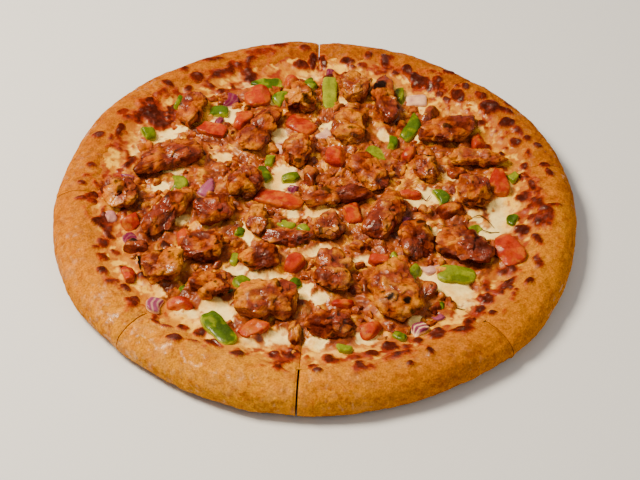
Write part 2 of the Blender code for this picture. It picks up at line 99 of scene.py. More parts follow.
def coats(colours, *layers):
    # each layer's tint mixed over the colours by the layer's amount, one after the other
    for layer, amount in layers:
        colours = mixIn(colours, layer, amount)
    return colours


latticeSize = 64
noiseShift, cellShift = 7.31, 5.17  # how far apart in the lattice two seeds are read
lattice = np.random.default_rng(3).uniform(-1, 1, (latticeSize,) * 3)


def noise(points, size, seed=0):
    # random values on a lattice of that size, eased between the eight corners round each point
    spots = points / size + seed * noiseShift
    base = np.floor(spots).astype(int)
    ease = spots - base
    ease = ease * ease * (3 - 2 * ease)
    total = np.zeros(points.shape[:-1])
    for corner in range(8):
        offset = np.array((corner & 1, corner >> 1 & 1, corner >> 2 & 1))
        weight = np.prod(np.where(offset, ease, 1 - ease), axis=-1)
        i, j, k = np.moveaxis((base + offset) % latticeSize, -1, 0)
        total += weight * lattice[i, j, k]
    return total


def fractal(points, size, octaves=3, seed=0):
    # noise at the size, at half of it and so on, each half as strong as the last
    return sum(noise(points, size / 2 ** n, seed + n) / 2 ** n for n in range(octaves))


def cells(points, size, seed=0):
    # one random spot in each lattice cell: how far off the nearest is, how much further the next one is, and
    # the nearest's own random value; the lattice is read at shifted places, so that the draws differ
    spots = points / size + seed * cellShift
    base = np.floor(spots).astype(int)
    first = np.full(points.shape[:-1], 9.0)
    second, value = first.copy(), np.zeros(first.shape)
    for offset in np.ndindex(3, 3, 3):
        cell = base + offset - 1
        i, j, k = np.moveaxis(cell % latticeSize, -1, 0)
        shift = np.stack([lattice[i, j, k], lattice[j, k, i - 9], lattice[k, i - 5, j]], axis=-1)
        distance = np.linalg.norm(cell + 0.5 + 0.45 * shift - spots, axis=-1)
        closer = distance < first
        second = np.where(closer, first, np.minimum(second, distance))
        value = np.where(closer, lattice[i, j - 20, k - 31], value)
        first = np.minimum(first, distance)
    return first, second - first, value


def flat(x, y, z=0.0):
    # a point for each x and y, at height z
    return np.stack(np.broadcast_arrays(x, y, z), axis=-1)


def bearingOf(plan):
    # the angle of each point round the pizza's middle
    return np.arctan2(plan[..., 1], plan[..., 0])


def blobs(x, y, marks, wander=0.35, seed=0):
    # the strongest of a list of soft-edged ovals, their rims pushed in and out by noise
    total = np.zeros(np.shape(x))
    ripple = wander * fractal(flat(x, y), 4, 3, seed)
    for markX, markY, length, width, turn, strength in marks:
        cosine, sine = math.cos(math.radians(turn)), math.sin(math.radians(turn))
        along = ((x - markX) * cosine + (y - markY) * sine) / (length / 2)
        across = ((y - markY) * cosine - (x - markX) * sine) / (width / 2)
        total = np.maximum(total, strength * smooth(1.25, 0.6, np.hypot(along, across) + ripple))
    return total


# the dough and the cheese as heights over the plan

def outlineRadius(theta):
    # a circle with slow waves, the same at opposite points
    waves = sum(depth * np.cos(count * theta + phase) for depth, count, phase in pizza["outlineWaves"])
    return pizza["radius"] + waves


def sines(start, waves, theta):
    # a start value, plus for each wave its depth times the sine of its count times the bearing and its phase
    return sum((depth * np.sin(count * theta + phase) for depth, count, phase in waves), start)


def rimHeight(theta):
    # slow waves, lower where a cut has pressed the rim down
    height = sines(pizza["rimHeight"], pizza["rimWaves"], theta)
    for angle, press in zip(pizza["cutAngles"], pizza["cutPress"]):
        turn = (theta - math.radians(angle) + math.pi) % (2 * math.pi) - math.pi
        height = height - press * bell(turn * pizza["radius"], 0, pizza["cutReach"])
    return height


def doughTop(rho, theta):
    # the flat bed, and a smooth rise from it to the crest
    rise = smooth(pizza["bedRadius"], pizza["rimTop"], rho)
    return pizza["bedHeight"] + (rimHeight(theta) - pizza["bedHeight"]) * rise


def cheeseEdge(theta):
    # a circle with waves, where the cheese ends on the rim
    return sines(pizza["cheeseEdge"], pizza["edgeWaves"], theta)


def cheeseTop(x, y):
    # the dough, the cheese's depth on it, which thins up the rim, and slow waves on the bed
    rho = np.hypot(x, y)
    thinning = pizza["cheeseThinning"] * smooth(pizza["bedRadius"], pizza["cheeseEdge"], rho)
    waves = sum(depth * np.sin(alongX * x + alongY * y + phase)
                for depth, alongX, alongY, phase in pizza["bedWaves"])
    calm = 1 - smooth(0.8 * pizza["bedRadius"], pizza["bedRadius"], rho)
    return doughTop(rho, np.arctan2(y, x)) + (pizza["cheeseDepth"] - thinning) + waves * calm


# what the solids' toppings are: x, y, length, width, turn in degrees, height, depth of the waist
chickenPlaces = (
    (-112, 2, 25, 22, 20, 13, 0), (-88, 34, 47, 21, 25, 12, 0.22), (-85, -11, 45, 19, 62, 12, 0.2),
    (-58, -10, 24, 22, 10, 12, 0), (-85, -56, 27, 22, -6, 14, 0), (-62, -40, 26, 21, 20, 12, 0),
    (-76, 77, 33, 16, 82, 10, 0.12), (-34, 61, 40, 20, 66, 11, 0.25), (-12, 43, 25, 18, 84, 11, 0),
    (-42, 12, 24, 22, 60, 14, 0), (-33, -18, 23, 15, 100, 10, 0), (-15, -30, 31, 13, 0, 9, 0.24),
    (-30, -47, 23, 16, 5, 11, 0), (13, 5, 40, 16, 12, 10, 0.24), (8, -23, 20, 18, 60, 12, 0),
    (10, -57, 34, 24, 85, 13, 0.22), (40, -11, 38, 22, 62, 12, 0.2), (31, 25, 35, 18, -58, 11, 0.2),
    (19, 66, 36, 23, 82, 11, 0.16), (-10, 88, 22, 20, 80, 14, 0), (22, 100, 22, 19, 88, 12, 0),
    (40, 90, 42, 17, -84, 12, 0.24), (65, 30, 24, 16, 95, 11, 0), (79, 62, 39, 23, 24, 12, 0.16),
    (92, 10, 25, 21, 85, 13, 0), (94, 39, 37, 15, 2, 10, 0.2), (57, -30, 31, 19, 98, 11, 0),
    (86, -36, 36, 26, -36, 12, 0.1), (-58, -70, 25, 16, -10, 10, 0), (-24, -82, 39, 28, 4, 15, 0.2),
    (10, -97, 30, 17, 0, 11, 0), (44, -70, 44, 29, 112, 15, 0.15),
)
tomatoPlaces = (
    (-37, 94, 19, 16, 95, 6, 0), (-63, 61, 18, 12, -25, 6, 0), (-10, 68, 20, 14, -35, 5, 0),
    (11, 40, 15, 13, 80, 7, 0), (-22, 3, 31, 12, -14, 5, 0), (21, -8, 17, 13, 100, 6, 0),
    (-31, -98, 21, 11, 28, 6, 0), (107, 20, 22, 12, 95, 6, 0), (109, -37, 23, 16, -58, 5, 0),
)
pepperPlaces = ((7, 99, 32, 9, 90, 4, 0), (79, -55, 22, 13, -8, 4, 0), (-51, -101, 27, 12, -55, 5, 0))
chickenBits = (
    (-101, -38, 15, 9, 0, 7), (-10, -101, 16, 7, 90, 6), (-4, 22, 18, 9, 84, 7), (68, 78, 18, 9, 68, 7),
    (78, -4, 17, 12, 20, 7), (26, -35, 13, 9, -20, 6), (63, -69, 13, 9, 70, 7),
)
tomatoBits = (
    (-45, 72, 17, 11, 80, 6), (-104, -17, 14, 12, 30, 6), (-73, -29, 13, 11, 100, 5),
    (-11, -48, 15, 11, 60, 6), (-103, -61, 12, 8, 100, 5), (-73, -81, 15, 10, 5, 5), (16, -78, 13, 6, 0, 4),
    (31, -97, 14, 11, 40, 6), (96, 56, 17, 8, 100, 6), (55, 45, 12, 9, 60, 5), (54, 11, 15, 9, 0, 5),
    (37, -45, 14, 9, -10, 6), (-17, 108, 11, 9, 60, 5),
)
pepperBits = (
    (-32, 106, 21, 10, 8, 3.5), (57, 69, 28, 9, 68, 4.5), (34, 45, 14, 11, 10, 4), (-32, 24, 17, 11, 70, 4),
    (-28, 38, 12, 6, 80, 4), (-61, 80, 14, 9, 0, 4), (-80, 16, 13, 9, 90, 4), (90, -18, 11, 9, 60, 4),
    (-83, 84, 10, 7, 70, 4), (-101, 57, 9, 9, 20, 4), (-22, 94, 13, 9, 45, 4), (-4, 107, 11, 7, -60, 4),
    (50, 97, 15, 7, 90, 4), (-15, 22, 11, 8, 20, 4), (45, 55, 12, 6, 80, 4), (73, 8, 14, 7, -70, 4),
    (114, 25, 9, 7, 20, 3), (113, -10, 10, 7, 80, 3), (63, -16, 8, 5, 0, 3), (-17, -15, 12, 7, -30, 3),
    (-7, -20, 8, 8, 20, 3.5), (-43, -23, 8, 6, 80, 3), (-45, -45, 9, 5, 80, 3), (46, -42, 10, 6, 85, 4),
    (55, -53, 11, 8, 40, 4), (-10, -64, 9, 8, 60, 4), (-40, -63, 10, 9, 50, 4), (-47, -70, 10, 6, -20, 3),
    (-72, -70, 8, 6, 60, 3), (17, -111, 10, 6, -10, 3), (47, -101, 9, 6, -30, 3), (71, -78, 6, 5, 20, 3),
)
onionBits = (
    (-53, 90, 12, 8, 70, 4), (-59, 71, 8, 5, 60, 3), (-63, 12, 16, 10, 60, 4), (-111, 20, 10, 5, -20, 3),
    (-105, -31, 9, 8, 45, 4), (7, 114, 11, 8, 70, 3.5), (-13, 13, 8, 6, 60, 4), (-21, 49, 14, 7, 100, 3),
    (5, 62, 13, 8, 50, 3), (-87, -83, 13, 8, 80, 3), (-117, -14, 10, 7, 100, 3), (7, -86, 9, 5, 0, 3),
    (58, -96, 10, 8, 30, 4), (69, -86, 8, 6, 40, 3), (52, -11, 10, 5, 80, 3), (60, 94, 13, 11, 0, 3),
    (66, -51, 12, 6, 10, 3),
)

# pale cheese that shows clean between the toppings: x, y, length, width, turn, strength
barePatches = (
    (-90, 59, 26, 9, 25, 1), (-106, 47, 12, 8, 60, 1), (-56, 77, 20, 13, 60, 1), (-45, 104, 18, 7, 0, 0.7),
    (-30, 91, 14, 6, 20, 0.9), (-8, 115, 14, 7, 0, 0.8), (14, 120, 18, 7, 0, 0.9), (16, 92, 9, 7, 0, 1),
    (60, 100, 20, 20, 0, 1), (66, 86, 10, 9, 0, 1), (40, 62, 7, 9, 0, 0.8), (61, 59, 4, 11, -20, 0.9),
    (5, 68, 12, 9, 40, 0.9), (-23, 60, 9, 14, 10, 1), (-22, 22, 17, 22, 0, 1), (-56, 41, 14, 9, -10, 1),
    (-84, 26, 12, 7, 0, 1), (-92, 14, 16, 8, -10, 1), (-117, -8, 9, 13, 10, 1), (-77, -14, 7, 13, -30, 0.9),
    (-40, -24, 9, 16, 0, 1), (-43, -53, 12, 9, 0, 1), (-28, -57, 22, 7, 0, 1), (-12, -8, 14, 7, -30, 0.9),
    (5, -6, 20, 7, -5, 1), (4, -36, 18, 7, 15, 1), (28, -43, 14, 11, 0, 0.9), (64, 8, 28, 15, -10, 1),
    (70, -19, 8, 8, 0, 1), (108, -5, 18, 30, -10, 1), (117, 22, 9, 20, -15, 1), (96, -21, 16, 10, -20, 1),
    (79, 27, 10, 7, 0, 0.9), (62, -53, 14, 11, 0, 1), (78, -65, 30, 15, -25, 1), (84, -77, 14, 12, 0, 0.9),
    (-5, -69, 9, 16, 0, 1), (3, -74, 11, 10, 0, 1), (-52, -84, 20, 17, -20, 1), (-72, -88, 22, 8, 0, 0.8),
    (-88, -71, 14, 10, 0, 1), (-20, -104, 17, 11, 0, 1), (-35, -109, 14, 6, 0, 0.8),
    (2, -107, 12, 11, 0, 1), (30, -103, 20, 8, 15, 1), (57, -92, 12, 9, 0, 0.9), (46, 106, 10, 8, 0, 0.8),
    (92, -6, 12, 8, 0, 0.9),
)

# browned blisters on the rim's inner side, as they show from above the front, with how dark each is
blisterMarks = (
    (-102, 83, 19, 17, 30, 0.45), (-102, 77, 12, 5, -20, 1), (-75, 111, 12, 8, 20, 0.85),
    (-83, 117, 7, 6, 0, 0.8), (-92, 103, 9, 5, -30, 0.8), (-66, 127, 14, 5, 15, 0.7),
    (-54, 120, 6, 14, 0, 0.75), (-58, 103, 9, 6, 0, 0.8), (-130, 55, 9, 7, 0, 0.85),
    (-118, 60, 5, 12, -15, 0.85), (-117, 75, 10, 6, 30, 0.6), (-107, 70, 6, 5, 0, 0.6),
    (-96, 68, 6, 4, 0, 0.6), (-132, 30, 6, 4, 0, 0.75), (-136, 15, 6, 4, -20, 0.7),
    (-135, 2, 8, 5, 10, 0.7), (-129, 1, 7, 5, 0, 0.6), (-124, -17, 10, 5, -30, 0.95),
    (-117, -24, 10, 5, -50, 0.95), (-119, -33, 5, 9, -20, 0.8), (-123, -37, 6, 4, 0, 0.7),
    (-119, -44, 9, 5, -40, 0.85), (-112, -38, 7, 4, -30, 0.75), (-98, 93, 7, 5, 40, 0.5),
    (-36, 135, 26, 8, 5, 0.55), (-25, 142, 14, 6, 0, 0.75), (-9, 140, 9, 8, 0, 0.7),
    (-11, 127, 12, 8, -20, 0.8), (-4, 131, 5, 13, 0, 0.9), (3, 130, 4, 13, 10, 0.9), (18, 131, 10, 6, 0, 1),
    (31, 136, 6, 8, 0, 0.8), (43, 134, 10, 5, -10, 0.85), (27, 128, 8, 5, 0, 0.7), (38, 122, 8, 6, 0, 0.6),
    (48, 122, 7, 6, 0, 0.65), (55, 122, 6, 12, 20, 0.95), (63, 114, 16, 8, -35, 0.95),
    (73, 113, 7, 6, 0, 0.8), (80, 121, 8, 7, 0, 0.85), (90, 107, 5, 8, 0, 0.85), (85, 100, 8, 14, 20, 1),
    (74, 103, 6, 5, 0, 0.7), (99, 97, 9, 7, -40, 0.8), (104, 88, 12, 12, 0, 0.95), (115, 92, 5, 5, 0, 1),
    (113, 84, 14, 6, -35, 0.9), (114, 73, 11, 9, -20, 1), (120, 66, 6, 14, 20, 0.7),
    (118, 58, 7, 8, 0, 0.8), (125, 60, 6, 6, 0, 0.85), (131, 54, 6, 5, 0, 0.85), (102, 56, 6, 7, 0, 0.7),
    (136, 30, 5, 9, 20, 0.9), (134, 38, 7, 5, 0, 0.7), (126, 20, 5, 12, 15, 0.9), (124, 4, 6, 6, 0, 0.8),
    (137, 2, 9, 3, 0, 0.75), (127, -4, 12, 4, -10, 0.7), (118, -14, 11, 10, 0, 0.95),
    (129, -11, 8, 6, 0, 0.8), (126, -25, 6, 13, 20, 0.9), (125, -43, 6, 12, 20, 0.75),
    (-118, -56, 8, 6, -30, 0.9), (-104, -67, 9, 5, -40, 0.9), (-98, -76, 6, 7, 0, 0.75),
    (-86, -93, 9, 3, -30, 0.8), (-79, -96, 7, 4, -10, 0.75), (-70, -95, 8, 6, 0, 0.85),
    (-61, -98, 8, 9, 0, 1), (-74, -107, 10, 7, -10, 0.8), (-54, -107, 12, 6, -25, 0.8),
    (-64, -108, 9, 3, 0, 0.6), (-40, -115, 8, 7, 0, 1), (-21, -112, 10, 8, -20, 0.75),
    (-15, -117, 9, 5, -35, 0.7), (9, -115, 6, 8, 0, 0.9), (3, -127, 6, 5, 0, 0.85),
    (25, -122, 6, 7, 20, 0.95), (32, -110, 8, 6, 0, 0.9), (42, -105, 11, 8, 0, 1), (22, -113, 9, 5, 0, 0.7),
    (57, -100, 7, 6, 0, 0.9), (68, -95, 10, 10, 0, 0.95), (79, -94, 12, 7, 0, 0.9),
    (63, -112, 4, 8, 20, 0.95), (52, -121, 4.5, 4.5, 0, 1), (96, -68, 9, 10, 0, 0.95),
    (91, -76, 7, 7, 0, 0.95), (98, -81, 5, 4, 0, 0.9), (107, -58, 16, 6, 45, 0.85),
    (-115, 30, 5, 4, 0, 0.6),
)
# red stains round them, and charred spots on the chicken
redMarks = (
    (-123, 45, 8, 18, 0, 0.9), (-125, 26, 8, 16, 10, 0.9), (-128, -9, 6, 12, 0, 1),
    (-40, 130, 12, 20, -10, 1), (-25, 130, 16, 14, 0, 0.8), (-12, 134, 14, 10, 0, 0.7),
    (125, 35, 9, 12, 0, 0.9), (131, 8, 5, 18, 15, 1), (115, -22, 9, 9, 0, 0.8), (107, -57, 22, 7, 45, 0.9),
    (75, -94, 24, 7, 5, 0.9), (35, -110, 30, 7, 5, 0.8), (120, 66, 7, 16, 20, 0.9),
    (110, 78, 22, 9, -40, 0.7), (86, 101, 12, 16, 0, 0.7), (62, 113, 20, 9, -35, 0.6),
    (-118, -26, 12, 10, -40, 0.7), (94, -72, 12, 14, 0, 0.7), (-20, -114, 16, 8, -30, 0.6),
    (10, -113, 16, 8, 0, 0.5), (-104, 80, 16, 14, 20, 0.5), (-58, 118, 12, 12, 0, 0.5),
    (32, 127, 20, 6, 0, 0.6), (125, -27, 8, 16, 10, 0.6),
)
charMarks = (
    (-120, 14, 5, 4, 20, 1), (-103, -36, 7, 4, 0, 1), (-98, -54, 3.5, 15, 0, 1), (-87, -49, 9, 4, 10, 0.9),
    (-70, 7, 3, 8, 0, 0.9), (0, -36, 4, 4, 0, 1), (37, 98, 9, 6, 20, 1), (65, 38, 4, 6, 30, 1),
    (52, 78, 8, 7, 0, 0.9), (20, 78, 9, 5, 0, 0.8), (42, -82, 4, 4, 0, 1), (51, -84, 5, 4, 0, 1),
    (-44, -78, 4, 7, 0, 0.9), (92, -38, 16, 9, -30, 0.5), (60, -19, 4, 6, 0, 0.9), (-112, -2, 4, 3, 0, 0.8),
    (-30, 70, 5, 4, 0, 0.7), (70, -64, 6, 6, 0, 0.7), (24, -72, 8, 4, 0, 0.6), (-2, 96, 8, 8, 0, 0.5),
)
rimShift = 4.5  # the rim lies higher than the plane that those places were read on, so it shows further back


def rimMarks(marks):
    # the marks moved towards the front by the shift
    return tuple((x, y - rimShift, *rest) for x, y, *rest in marks)


blisterPlaces = rimMarks(blisterMarks)
redPlaces = rimMarks(redMarks)


# meshes

def gridFaces(rows, columns):
    # four-sided faces between neighbouring rows and columns of a grid
    corner = np.arange(rows * columns).reshape(rows, columns)
    around = [corner[:-1, :-1], corner[1:, :-1], corner[1:, 1:], corner[:-1, 1:]]
    return np.stack(around, axis=-1).reshape(-1, 4)


def makePiece(name, points, faces, paint, shine, finish, slotName, replaced=()):
    # points in mm and faces become a mesh, with a colour and a gloss for each point
    mesh = bpy.data.meshes.new(name)
    mesh.from_pydata((points * mm).tolist(), [], faces)
    rgba = np.column_stack([paint, np.ones(len(paint))]).astype(np.float32)
    colour = mesh.attributes.new("paint", "FLOAT_COLOR", "POINT")
    colour.data.foreach_set("color", rgba.ravel())
    gloss = mesh.attributes.new("shine", "FLOAT", "POINT")
    gloss.data.foreach_set("value", np.broadcast_to(shine, len(points)).astype(np.float32))
    mesh.materials.append(finishes[finish])
    mesh.shade_smooth()
    mesh.update()
    piece = bpy.data.objects.new(name, mesh)
    bpy.context.scene.collection.objects.link(piece)
    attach(piece, "root")
    if replaced:
        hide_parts(*replaced)
    return piece


def push(grid, amount):
    # moves a grid of points along its own normals
    along, across = np.gradient(grid, axis=0), np.gradient(grid, axis=1)
    normal = np.cross(along, across)
    normal /= np.maximum(np.linalg.norm(normal, axis=-1, keepdims=True), 1e-9)
    return grid + normal * amount[..., None]


def closeWedge(grid, tipTop, tipBottom):
    # a grid that runs from near the tip out along the top and back below becomes a closed wedge
    rows, columns = grid.shape[:2]
    points = np.concatenate([grid.reshape(-1, 3), [tipTop, tipBottom]])
    upper, lower = rows * columns, rows * columns + 1
    faces = gridFaces(rows, columns).tolist()
    first, last = np.arange(columns), np.arange(columns) + (rows - 1) * columns
    faces += np.column_stack([np.full(columns - 1, upper), first[:-1], first[1:]]).tolist()
    faces += np.column_stack([np.full(columns - 1, lower), last[1:], last[:-1]]).tolist()
    start = list(range(0, rows * columns, columns))
    end = list(range(columns - 1, rows * columns, columns))
    faces.append([upper, lower] + start[::-1])
    faces.append([lower, upper] + end)
    return points, faces


# materials

def makeFinish(name, look):
    # colour is the paint attribute times two sizes of speckle, roughness goes from dull to glossy with the
    # shine attribute, made uneven by noise, and the normal has a fine bump on a broad one
    material = bpy.data.materials.new(name)
    material.use_nodes = True
    nodes, links = material.node_tree.nodes, material.node_tree.links
    shader = nodes["Principled BSDF"]
    place = nodes.new("ShaderNodeTexCoord")
    paint = nodes.new("ShaderNodeAttribute")
    paint.attribute_name = "paint"
    shine = nodes.new("ShaderNodeAttribute")
    shine.attribute_name = "shine"

    def grain(size, detail=3):
        # noise whose lumps are about the size in mm
        made = nodes.new("ShaderNodeTexNoise")
        made.inputs["Scale"].default_value = 1 / (size * mm)
        made.inputs["Detail"].default_value = detail
        made.inputs["Roughness"].default_value = 0.55
        links.new(place.outputs["Object"], made.inputs["Vector"])
        return made.outputs["Fac"]

    def remap(value, low, high, outLow, outHigh):
        # a straight line from one range of values onto another
        made = nodes.new("ShaderNodeMapRange")
        sockets = ("From Min", "From Max", "To Min", "To Max")
        for socket, number in zip(sockets, (low, high, outLow, outHigh)):
            made.inputs[socket].default_value = number
        links.new(value, made.inputs["Value"])
        return made.outputs["Result"]

    def swing(value, middle, reach):
        # noise, most of which lies from 0.3 to 0.7, as a middle value give or take a reach
        return remap(value, 0.3, 0.7, middle - reach, middle + reach)

    def combine(operation, first, second):
        # two values multiplied or added
        made = nodes.new("ShaderNodeMath")
        made.operation = operation
        links.new(first, made.inputs[0])
        links.new(second, made.inputs[1])
        return made.outputs["Value"]

    speckle = swing(grain(look["speckleSize"], 4), 1, look["speckle"])
    patch = swing(grain(look["speckleSize"] * 4), 1, look["speckle"] * 0.6)
    scale = nodes.new("ShaderNodeVectorMath")
    scale.operation = "SCALE"
    links.new(paint.outputs["Color"], scale.inputs[0])
    links.new(combine("MULTIPLY", speckle, patch), scale.inputs["Scale"])
    links.new(scale.outputs["Vector"], shader.inputs["Base Color"])
    wet = remap(shine.outputs["Fac"], 0, 1, look["dull"], look["glossy"])
    uneven = swing(grain(look["bumpSize"] * 2), 0, look["uneven"])
    links.new(combine("ADD", wet, uneven), shader.inputs["Roughness"])
    broad, fine = nodes.new("ShaderNodeBump"), nodes.new("ShaderNodeBump")
    for bump, spread, depth in ((broad, 3, 0.5), (fine, 1, 0.2)):
        bump.inputs["Distance"].default_value = look["bumpSize"] * mm * depth
        bump.inputs["Strength"].default_value = look["bump"]
        links.new(grain(look["bumpSize"] * spread), bump.inputs["Height"])
    links.new(broad.outputs["Normal"], fine.inputs["Normal"])
    links.new(fine.outputs["Normal"], shader.inputs["Normal"])
    shader.inputs["Subsurface Weight"].default_value = look["subsurface"]
    shader.inputs["Subsurface Radius"].default_value = look["bleed"]
    shader.inputs["Subsurface Scale"].default_value = 2 * mm
    edge = remap(shine.outputs["Fac"], 0, 1, look["matte"], look["specular"])
    links.new(edge, shader.inputs["Specular IOR Level"])
    return material


# each look has speckle, roughness from dull to glossy, bump, light that bleeds in, and reflection from
# matte to specular
looks = {
    "crust": {"speckle": 0.3, "speckleSize": 1.0, "dull": 0.75, "glossy": 0.22, "uneven": 0.12, "bump": 1.0,
              "bumpSize": 1.1, "subsurface": 0.0, "bleed": (1.0, 0.5, 0.2), "matte": 0.02, "specular": 0.7},
    "cheese": {"speckle": 0.08, "speckleSize": 1.3, "dull": 0.55, "glossy": 0.26, "uneven": 0.1,
               "bump": 0.45, "bumpSize": 1.5, "subsurface": 0.12, "bleed": (1.0, 0.7, 0.4),
               "matte": 0.06, "specular": 0.4},
    "chicken": {"speckle": 0.26, "speckleSize": 0.9, "dull": 0.7, "glossy": 0.2, "uneven": 0.1,
                "bump": 0.9, "bumpSize": 1.0, "subsurface": 0.0, "bleed": (1.0, 0.4, 0.2),
                "matte": 0.03, "specular": 0.55},
    "tomato": {"speckle": 0.14, "speckleSize": 1.0, "dull": 0.5, "glossy": 0.25, "uneven": 0.1,
               "bump": 0.6, "bumpSize": 1.1, "subsurface": 0.03, "bleed": (1.0, 0.3, 0.15),
               "matte": 0.03, "specular": 0.3},
    "pepper": {"speckle": 0.16, "speckleSize": 1.2, "dull": 0.5, "glossy": 0.2, "uneven": 0.08,
               "bump": 0.5, "bumpSize": 1.3, "subsurface": 0.05, "bleed": (0.5, 1.0, 0.2),
               "matte": 0.05, "specular": 0.35},
    "onion": {"speckle": 0.08, "speckleSize": 1.3, "dull": 0.4, "glossy": 0.2, "uneven": 0.06,
              "bump": 0.2, "bumpSize": 1.0, "subsurface": 0.15, "bleed": (1.0, 0.5, 0.7),
              "matte": 0.1, "specular": 0.4},
    "herb": {"speckle": 0.2, "speckleSize": 0.8, "dull": 0.6, "glossy": 0.4, "uneven": 0.06,
             "bump": 0.3, "bumpSize": 0.5, "subsurface": 0.0, "bleed": (1.0, 0.5, 0.7),
             "matte": 0.1, "specular": 0.3},
}
finishes = {name: makeFinish(name + "Finish", look) for name, look in looks.items()}


# the eight slices in the plan
hub = np.array(pizza["hub"])
cutTurns = np.radians(pizza["cutAngles"])
cutWays = pizza["radius"] * np.column_stack([np.cos(cutTurns), np.sin(cutTurns)]) - hub
cutBearings = np.arctan2(cutWays[:, 1], cutWays[:, 0])
sliceCount = len(cutBearings)


def fanBearings(number, columns):
    # bearings from the hub, from one cut to the next, crowded together beside the cuts
    start, end = cutBearings[number], cutBearings[(number + 1) % sliceCount]
    if end < start:
        end += 2 * math.pi
    share = np.linspace(0, 1, columns)
    share = share - cuts["crowding"] * np.sin(2 * math.pi * share) / (2 * math.pi)
    return start + (end - start) * share


def rayPlan(bearings, rho, share=1.0):
    # points on the rays from the hub, at a share of the way to where each ray meets a circle of radius rho
    ways = np.column_stack([np.cos(bearings), np.sin(bearings)])
    along = ways @ hub
    reach = -along + np.sqrt(along ** 2 + np.square(rho) - hub @ hub)
    return hub + ways * reach[:, None] * share


def cutDistances(plan, number):
    # distance from a slice's two cut lines, and each line's inward normal
    found = []
    for cut, side in ((number, 1), ((number + 1) % sliceCount, -1)):
        bearing = cutBearings[cut]
        normal = np.array((-math.sin(bearing), math.cos(bearing))) * side
        found.append((cut, normal, (plan - hub) @ normal))
    return found


def openCuts(grid, number, gaps, creases, start):
    # draws the slice back from its cuts and rounds its edges down into them, both as a bell across each cut,
    # and both only further from the hub than the start
    fromHub = np.hypot(grid[..., 0] - hub[0], grid[..., 1] - hub[1])
    calm = smooth(start, start + cuts["calmRadius"], fromHub)
    for cut, normal, distance in cutDistances(grid[..., :2], number):
        near = bell(distance, 0, cuts["creaseWidth"]) * calm
        grid[..., :2] += normal * (gaps[cut] / 2 * near)[..., None]
        grid[..., 2] -= creases[cut] * near * smooth(*cuts["creaseFoot"], grid[..., 2])
    return grid


# tints of the cheese, of the gravy and of the browning, which runs on over the dough
cheeseTints = {
    "cream": tint(255, 240, 204), "butter": tint(250, 200, 60), "gold": tint(242, 170, 14),
    "pale": tint(252, 218, 110), "orange": tint(232, 132, 32),
    "gravy": tint(204, 96, 32), "deep": tint(122, 44, 16), "red": tint(178, 36, 18),
    "amber": tint(218, 104, 24), "brick": tint(166, 50, 18), "brown": tint(104, 32, 14),
    "char": tint(48, 14, 10),
}
# where the border browns, and how strongly its knobs and its placed blisters do
heatLook = {
    "bandStart": (107, 115), "bandEnd": (138, 130), "wander": 4, "backBearing": 75,
    "knobSize": 7.5, "knobs": 0.8, "blotchSize": 8.5, "blisters": 0.95, "uneven": 0.3,
}


def heatOf(x, y):
    # how browned the border is, from 0 to 1: the strongest of blotches and knobs in a band, most towards the
    # back, and of the placed blisters
    look = heatLook
    plan = flat(x, y)
    back = np.cos(np.arctan2(y, x) - math.radians(look["backBearing"]))
    wander = np.hypot(x, y) + look["wander"] * fractal(plan, 14, 2, 70)
    band = smooth(*look["bandStart"], wander) * smooth(*look["bandEnd"], wander)
    near, _, value = cells(plan + 1.2 * noise(plan, 4, 74)[..., None], look["knobSize"], 75)
    knobs = smooth(0.5, 0.2, near) * smooth(-0.1, 0.8, value + 0.4 * back)
    blotches = fractal(plan, look["blotchSize"], 4, 71) + 0.16 * back
    heat = np.maximum(band * smooth(-0.2, 1.1, blotches), look["knobs"] * band * knobs)
    heat = np.maximum(heat, look["blisters"] * blobs(x, y, blisterPlaces, 0.2))
    return np.clip(heat * (1.0 + look["uneven"] * fractal(plan, 3.2, 2, 73)), 0, 1)


def heatPaint(colours, heat, red):
    # amber, brick, brown and nearly black as the heat rises, with the red between the first two
    tints = cheeseTints
    return coats(colours, (tints["amber"], smooth(0.12, 0.36, heat)), (tints["red"], 0.85 * red),
                 (tints["brick"], smooth(0.34, 0.52, heat)), (tints["brown"], smooth(0.52, 0.78, heat)),
                 (tints["char"], 0.6 * smooth(0.84, 1.05, heat)))


# dough
crustLook = {
    "innerRadius": 100.0, "topRows": 46, "wallRows": 58, "wallTurns": (88, -90), "columns": 150,
    "waves": ((19, 0.45), (8, 0.38), (3.4, 0.28), (1.7, 0.18)), "drawIn": 0.65, "blisterRise": 1.9,
    "golden": tint(236, 150, 14), "pale": tint(240, 172, 6), "toastAndShade": tint(176, 82, 16),
    "dark": tint(112, 54, 14),
    # bearings in degrees: browner towards the back and at a spot in front, partly painted shade; paler at the
    # front and on the right, painted light; the foot's painted shade deepest towards the front right
    "backBearing": 92, "toastedSpot": (300, 17), "paleFront": (245, 36), "paleSide": (350, 30),
    "footShadeBearing": 320, "oilyFront": (235, 42),
}


